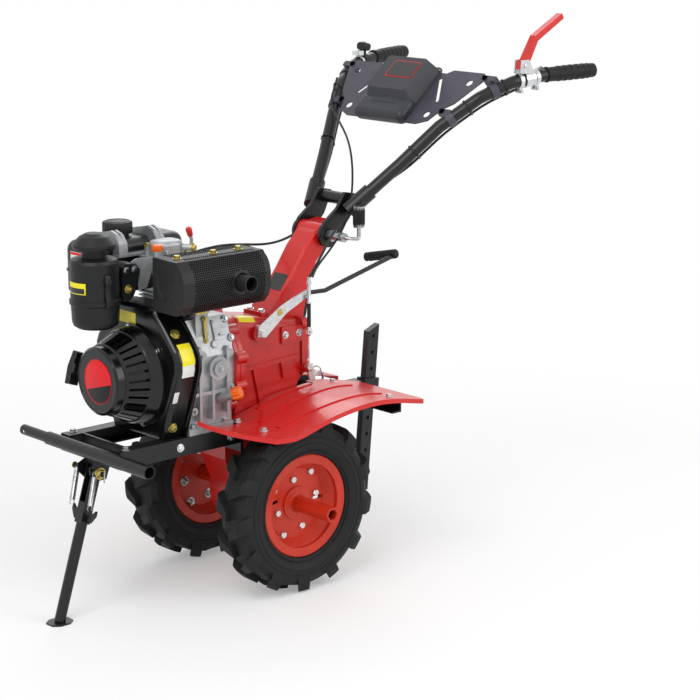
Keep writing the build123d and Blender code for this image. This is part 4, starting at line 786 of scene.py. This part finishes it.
# Clutch linkage, hung under the near cable's end: adjuster, rubber boot, clevis, thin rod, lever and ring;
# beside it the clutch arm's bolt and the yellow patch on the casing
HANG = (-122.0, 84.0, 704)
adjuster = [(-2, 0), (-2, 3.6), (3, 4.6), (8, 4.6), (9, 6.2), (15, 6.2), (16, 4.6), (52, 4.6), (54, 5.8),
            (60, 5.8), (61, 0)]
piece("linkage_adjuster", [turned(HANG, DOWN, adjuster, 16)], bright_zinc)
boot = [(60, 0), (60, 4.2)] + [(62 + 3 * k + d, r) for k in range(18) for d, r in ((0, 5.0), (1.5, 4.1))]
boot += [(117, 4.2), (118, 0)]
piece("linkage_boot", [turned(HANG, DOWN, boot, 16)], moulded_black, crease=60)
clevis = [(116, 0), (116, 4.4), (120, 6.6), (134, 6.6), (137, 4.0), (140, 0)]
pin = turned((-122, 77, 577), LEFT, [(0, 0), (0, 4), (16, 4), (16, 0)], 12)
piece("linkage_clevis", [turned(HANG, DOWN, clevis, 6), pin], bright_zinc)
piece("linkage_rod", [turned(HANG, DOWN, [(136, 0), (136, 1.7), (216, 1.7), (217, 0)], 10)], bright_zinc)
lever = [(-120, 498), (-136, 498), (-145, 457), (-136, 453), (-127, 457)]
piece("linkage_lever", [plate(lever, 77, [(-2, 1), (3, 1)])], bright_zinc)
eye = turned((-122, 78, 491), LEFT, [(-4, 0), (-4, 6.4), (8, 6.4), (8, 0)], 16)
nut = turned((-128, 75, 486), LEFT, [(0, 0), (0, 8), (8, 8), (9, 6), (9, 0)], 6)
piece("linkage_eye", [eye, nut], bright_zinc)
piece("linkage_ring", [ring_about((-146, 82, 478), (0.5, 0.85, 0), 11, 3.2, steps=40)], zinc)
patch = pad((-40, 76, 633), LEFT, (0.42, 0, 0.9), rounded(15, 15, 3), [(-0.6, 1), (0.35, 1)])
piece("arm_heat_patch", [patch], yellow_zinc)
bolts("arm_bolt", [((14, 76, 591), LEFT)], bright_zinc, 11)

# Floor, light and camera, in metres
scene = bpy.context.scene
scene.view_settings.view_transform = "Standard"

WHITE, FLOOR_PAINT = (1, 1, 1, 1), (0.93, 0.93, 0.93, 1)
FLOOR_HALF = 8
FADE_FROM, FADE_TO = 0.95, 2.4
NEAR_WHITE = 0.3
SKY_FILL, SKY_SEEN = 0.6, 1.0
AIM = (-0.1, 0, 0.5)


def looked_at(tree):
    """The socket that is 1 on rays from the camera and from glossy surfaces, and 0 on the rest."""
    ray = node(tree, "ShaderNodeLightPath").outputs
    return node(tree, "ShaderNodeMath", {0: ray["Is Camera Ray"], 1: ray["Is Glossy Ray"]},
                operation="MAXIMUM").outputs[0]


def floor():
    """A flat grid at height zero that, looked at, fades from a lit floor to plain white with distance."""
    side = np.linspace(-FLOOR_HALF, FLOOR_HALF, 3)
    x, y = np.meshgrid(side, side, indexing="ij")
    verts = np.column_stack([x.ravel(), y.ravel(), np.zeros(9)])
    faces = [(i * 3 + j, i * 3 + 3 + j, i * 3 + 4 + j, i * 3 + 1 + j) for i in range(2) for j in range(2)]
    mesh = bpy.data.meshes.new("studio_floor")
    mesh.from_pydata(verts.tolist(), [], faces)
    obj = bpy.data.objects.new("studio_floor", mesh)
    bpy.context.collection.objects.link(obj)
    mat = bpy.data.materials.new("studio_floor_white")
    mat.use_nodes = True
    tree = mat.node_tree
    tree.nodes.clear()
    skin = node(tree, "ShaderNodeBsdfDiffuse", Color=FLOOR_PAINT)
    white = node(tree, "ShaderNodeEmission", Color=WHITE, Strength=1.0)
    place = node(tree, "ShaderNodeTexCoord").outputs["Object"]
    reach = node(tree, "ShaderNodeVectorMath", {0: place}, operation="LENGTH")
    fade = node(tree, "ShaderNodeMapRange", {"Value": reach.outputs["Value"]},
                interpolation_type="SMOOTHSTEP")
    fade.inputs["From Min"].default_value = FADE_FROM
    fade.inputs["From Max"].default_value = FADE_TO
    fade.inputs["To Min"].default_value = NEAR_WHITE
    share = node(tree, "ShaderNodeMath", {0: fade.outputs["Result"], 1: looked_at(tree)},
                 operation="MULTIPLY")
    both = node(tree, "ShaderNodeMixShader", {0: share.outputs[0], 1: skin.outputs["BSDF"],
                                              2: white.outputs["Emission"]})
    node(tree, "ShaderNodeOutputMaterial", {"Surface": both.outputs["Shader"]})
    mesh.materials.append(mat)


def lamp(name, place, size, watts):
    """A soft square lamp at place, facing the machine."""
    light = bpy.data.lights.new(name, "AREA")
    light.shape = "SQUARE"
    light.size = size
    light.energy = watts
    obj = bpy.data.objects.new(name, light)
    bpy.context.collection.objects.link(obj)
    obj.location = place
    obj.rotation_euler = (Vector(AIM) - Vector(place)).to_track_quat("-Z", "Y").to_euler()


floor()
lamp("key_lamp", (2.6, 1.4, 3.4), 2.4, 80)
lamp("left_lamp", (-1.6, 3.6, 2.4), 2.6, 55)
lamp("back_lamp", (-2.6, -2.4, 3.0), 2.4, 40)

world = bpy.data.worlds.new("studio_world")
scene.world = world
world.use_nodes = True
sky = world.node_tree
sky.nodes.clear()
power = node(sky, "ShaderNodeMapRange", {"Value": looked_at(sky)})
power.inputs["To Min"].default_value = SKY_FILL
power.inputs["To Max"].default_value = SKY_SEEN
glow = node(sky, "ShaderNodeBackground", {"Strength": power.outputs["Result"]}, Color=WHITE)
node(sky, "ShaderNodeOutputWorld", {"Surface": glow.outputs["Background"]})

# The camera fitted to the photograph: its angles and distance about a target, and its focal length in pixels
# of a picture 700 high and wide
TURN, TILT, DISTANCE = math.radians(137.71), math.radians(13.2), 5.16048
TARGET = Vector((-0.32778, 0, 0.48495))
FOCAL_PX, PICTURE_PX = 2115.13, 700
away = Vector((math.sin(TURN) * math.cos(TILT), -math.cos(TURN) * math.cos(TILT), math.sin(TILT)))
lens = bpy.data.cameras.new("photo_camera")
lens.sensor_width = 36.0
lens.lens = lens.sensor_width * FOCAL_PX / PICTURE_PX
lens.clip_end = 60
camera = bpy.data.objects.new("photo_camera", lens)
bpy.context.collection.objects.link(camera)
camera.location = TARGET + away * DISTANCE
camera.rotation_euler = (-away).to_track_quat("-Z", "Y").to_euler()
scene.camera = camera
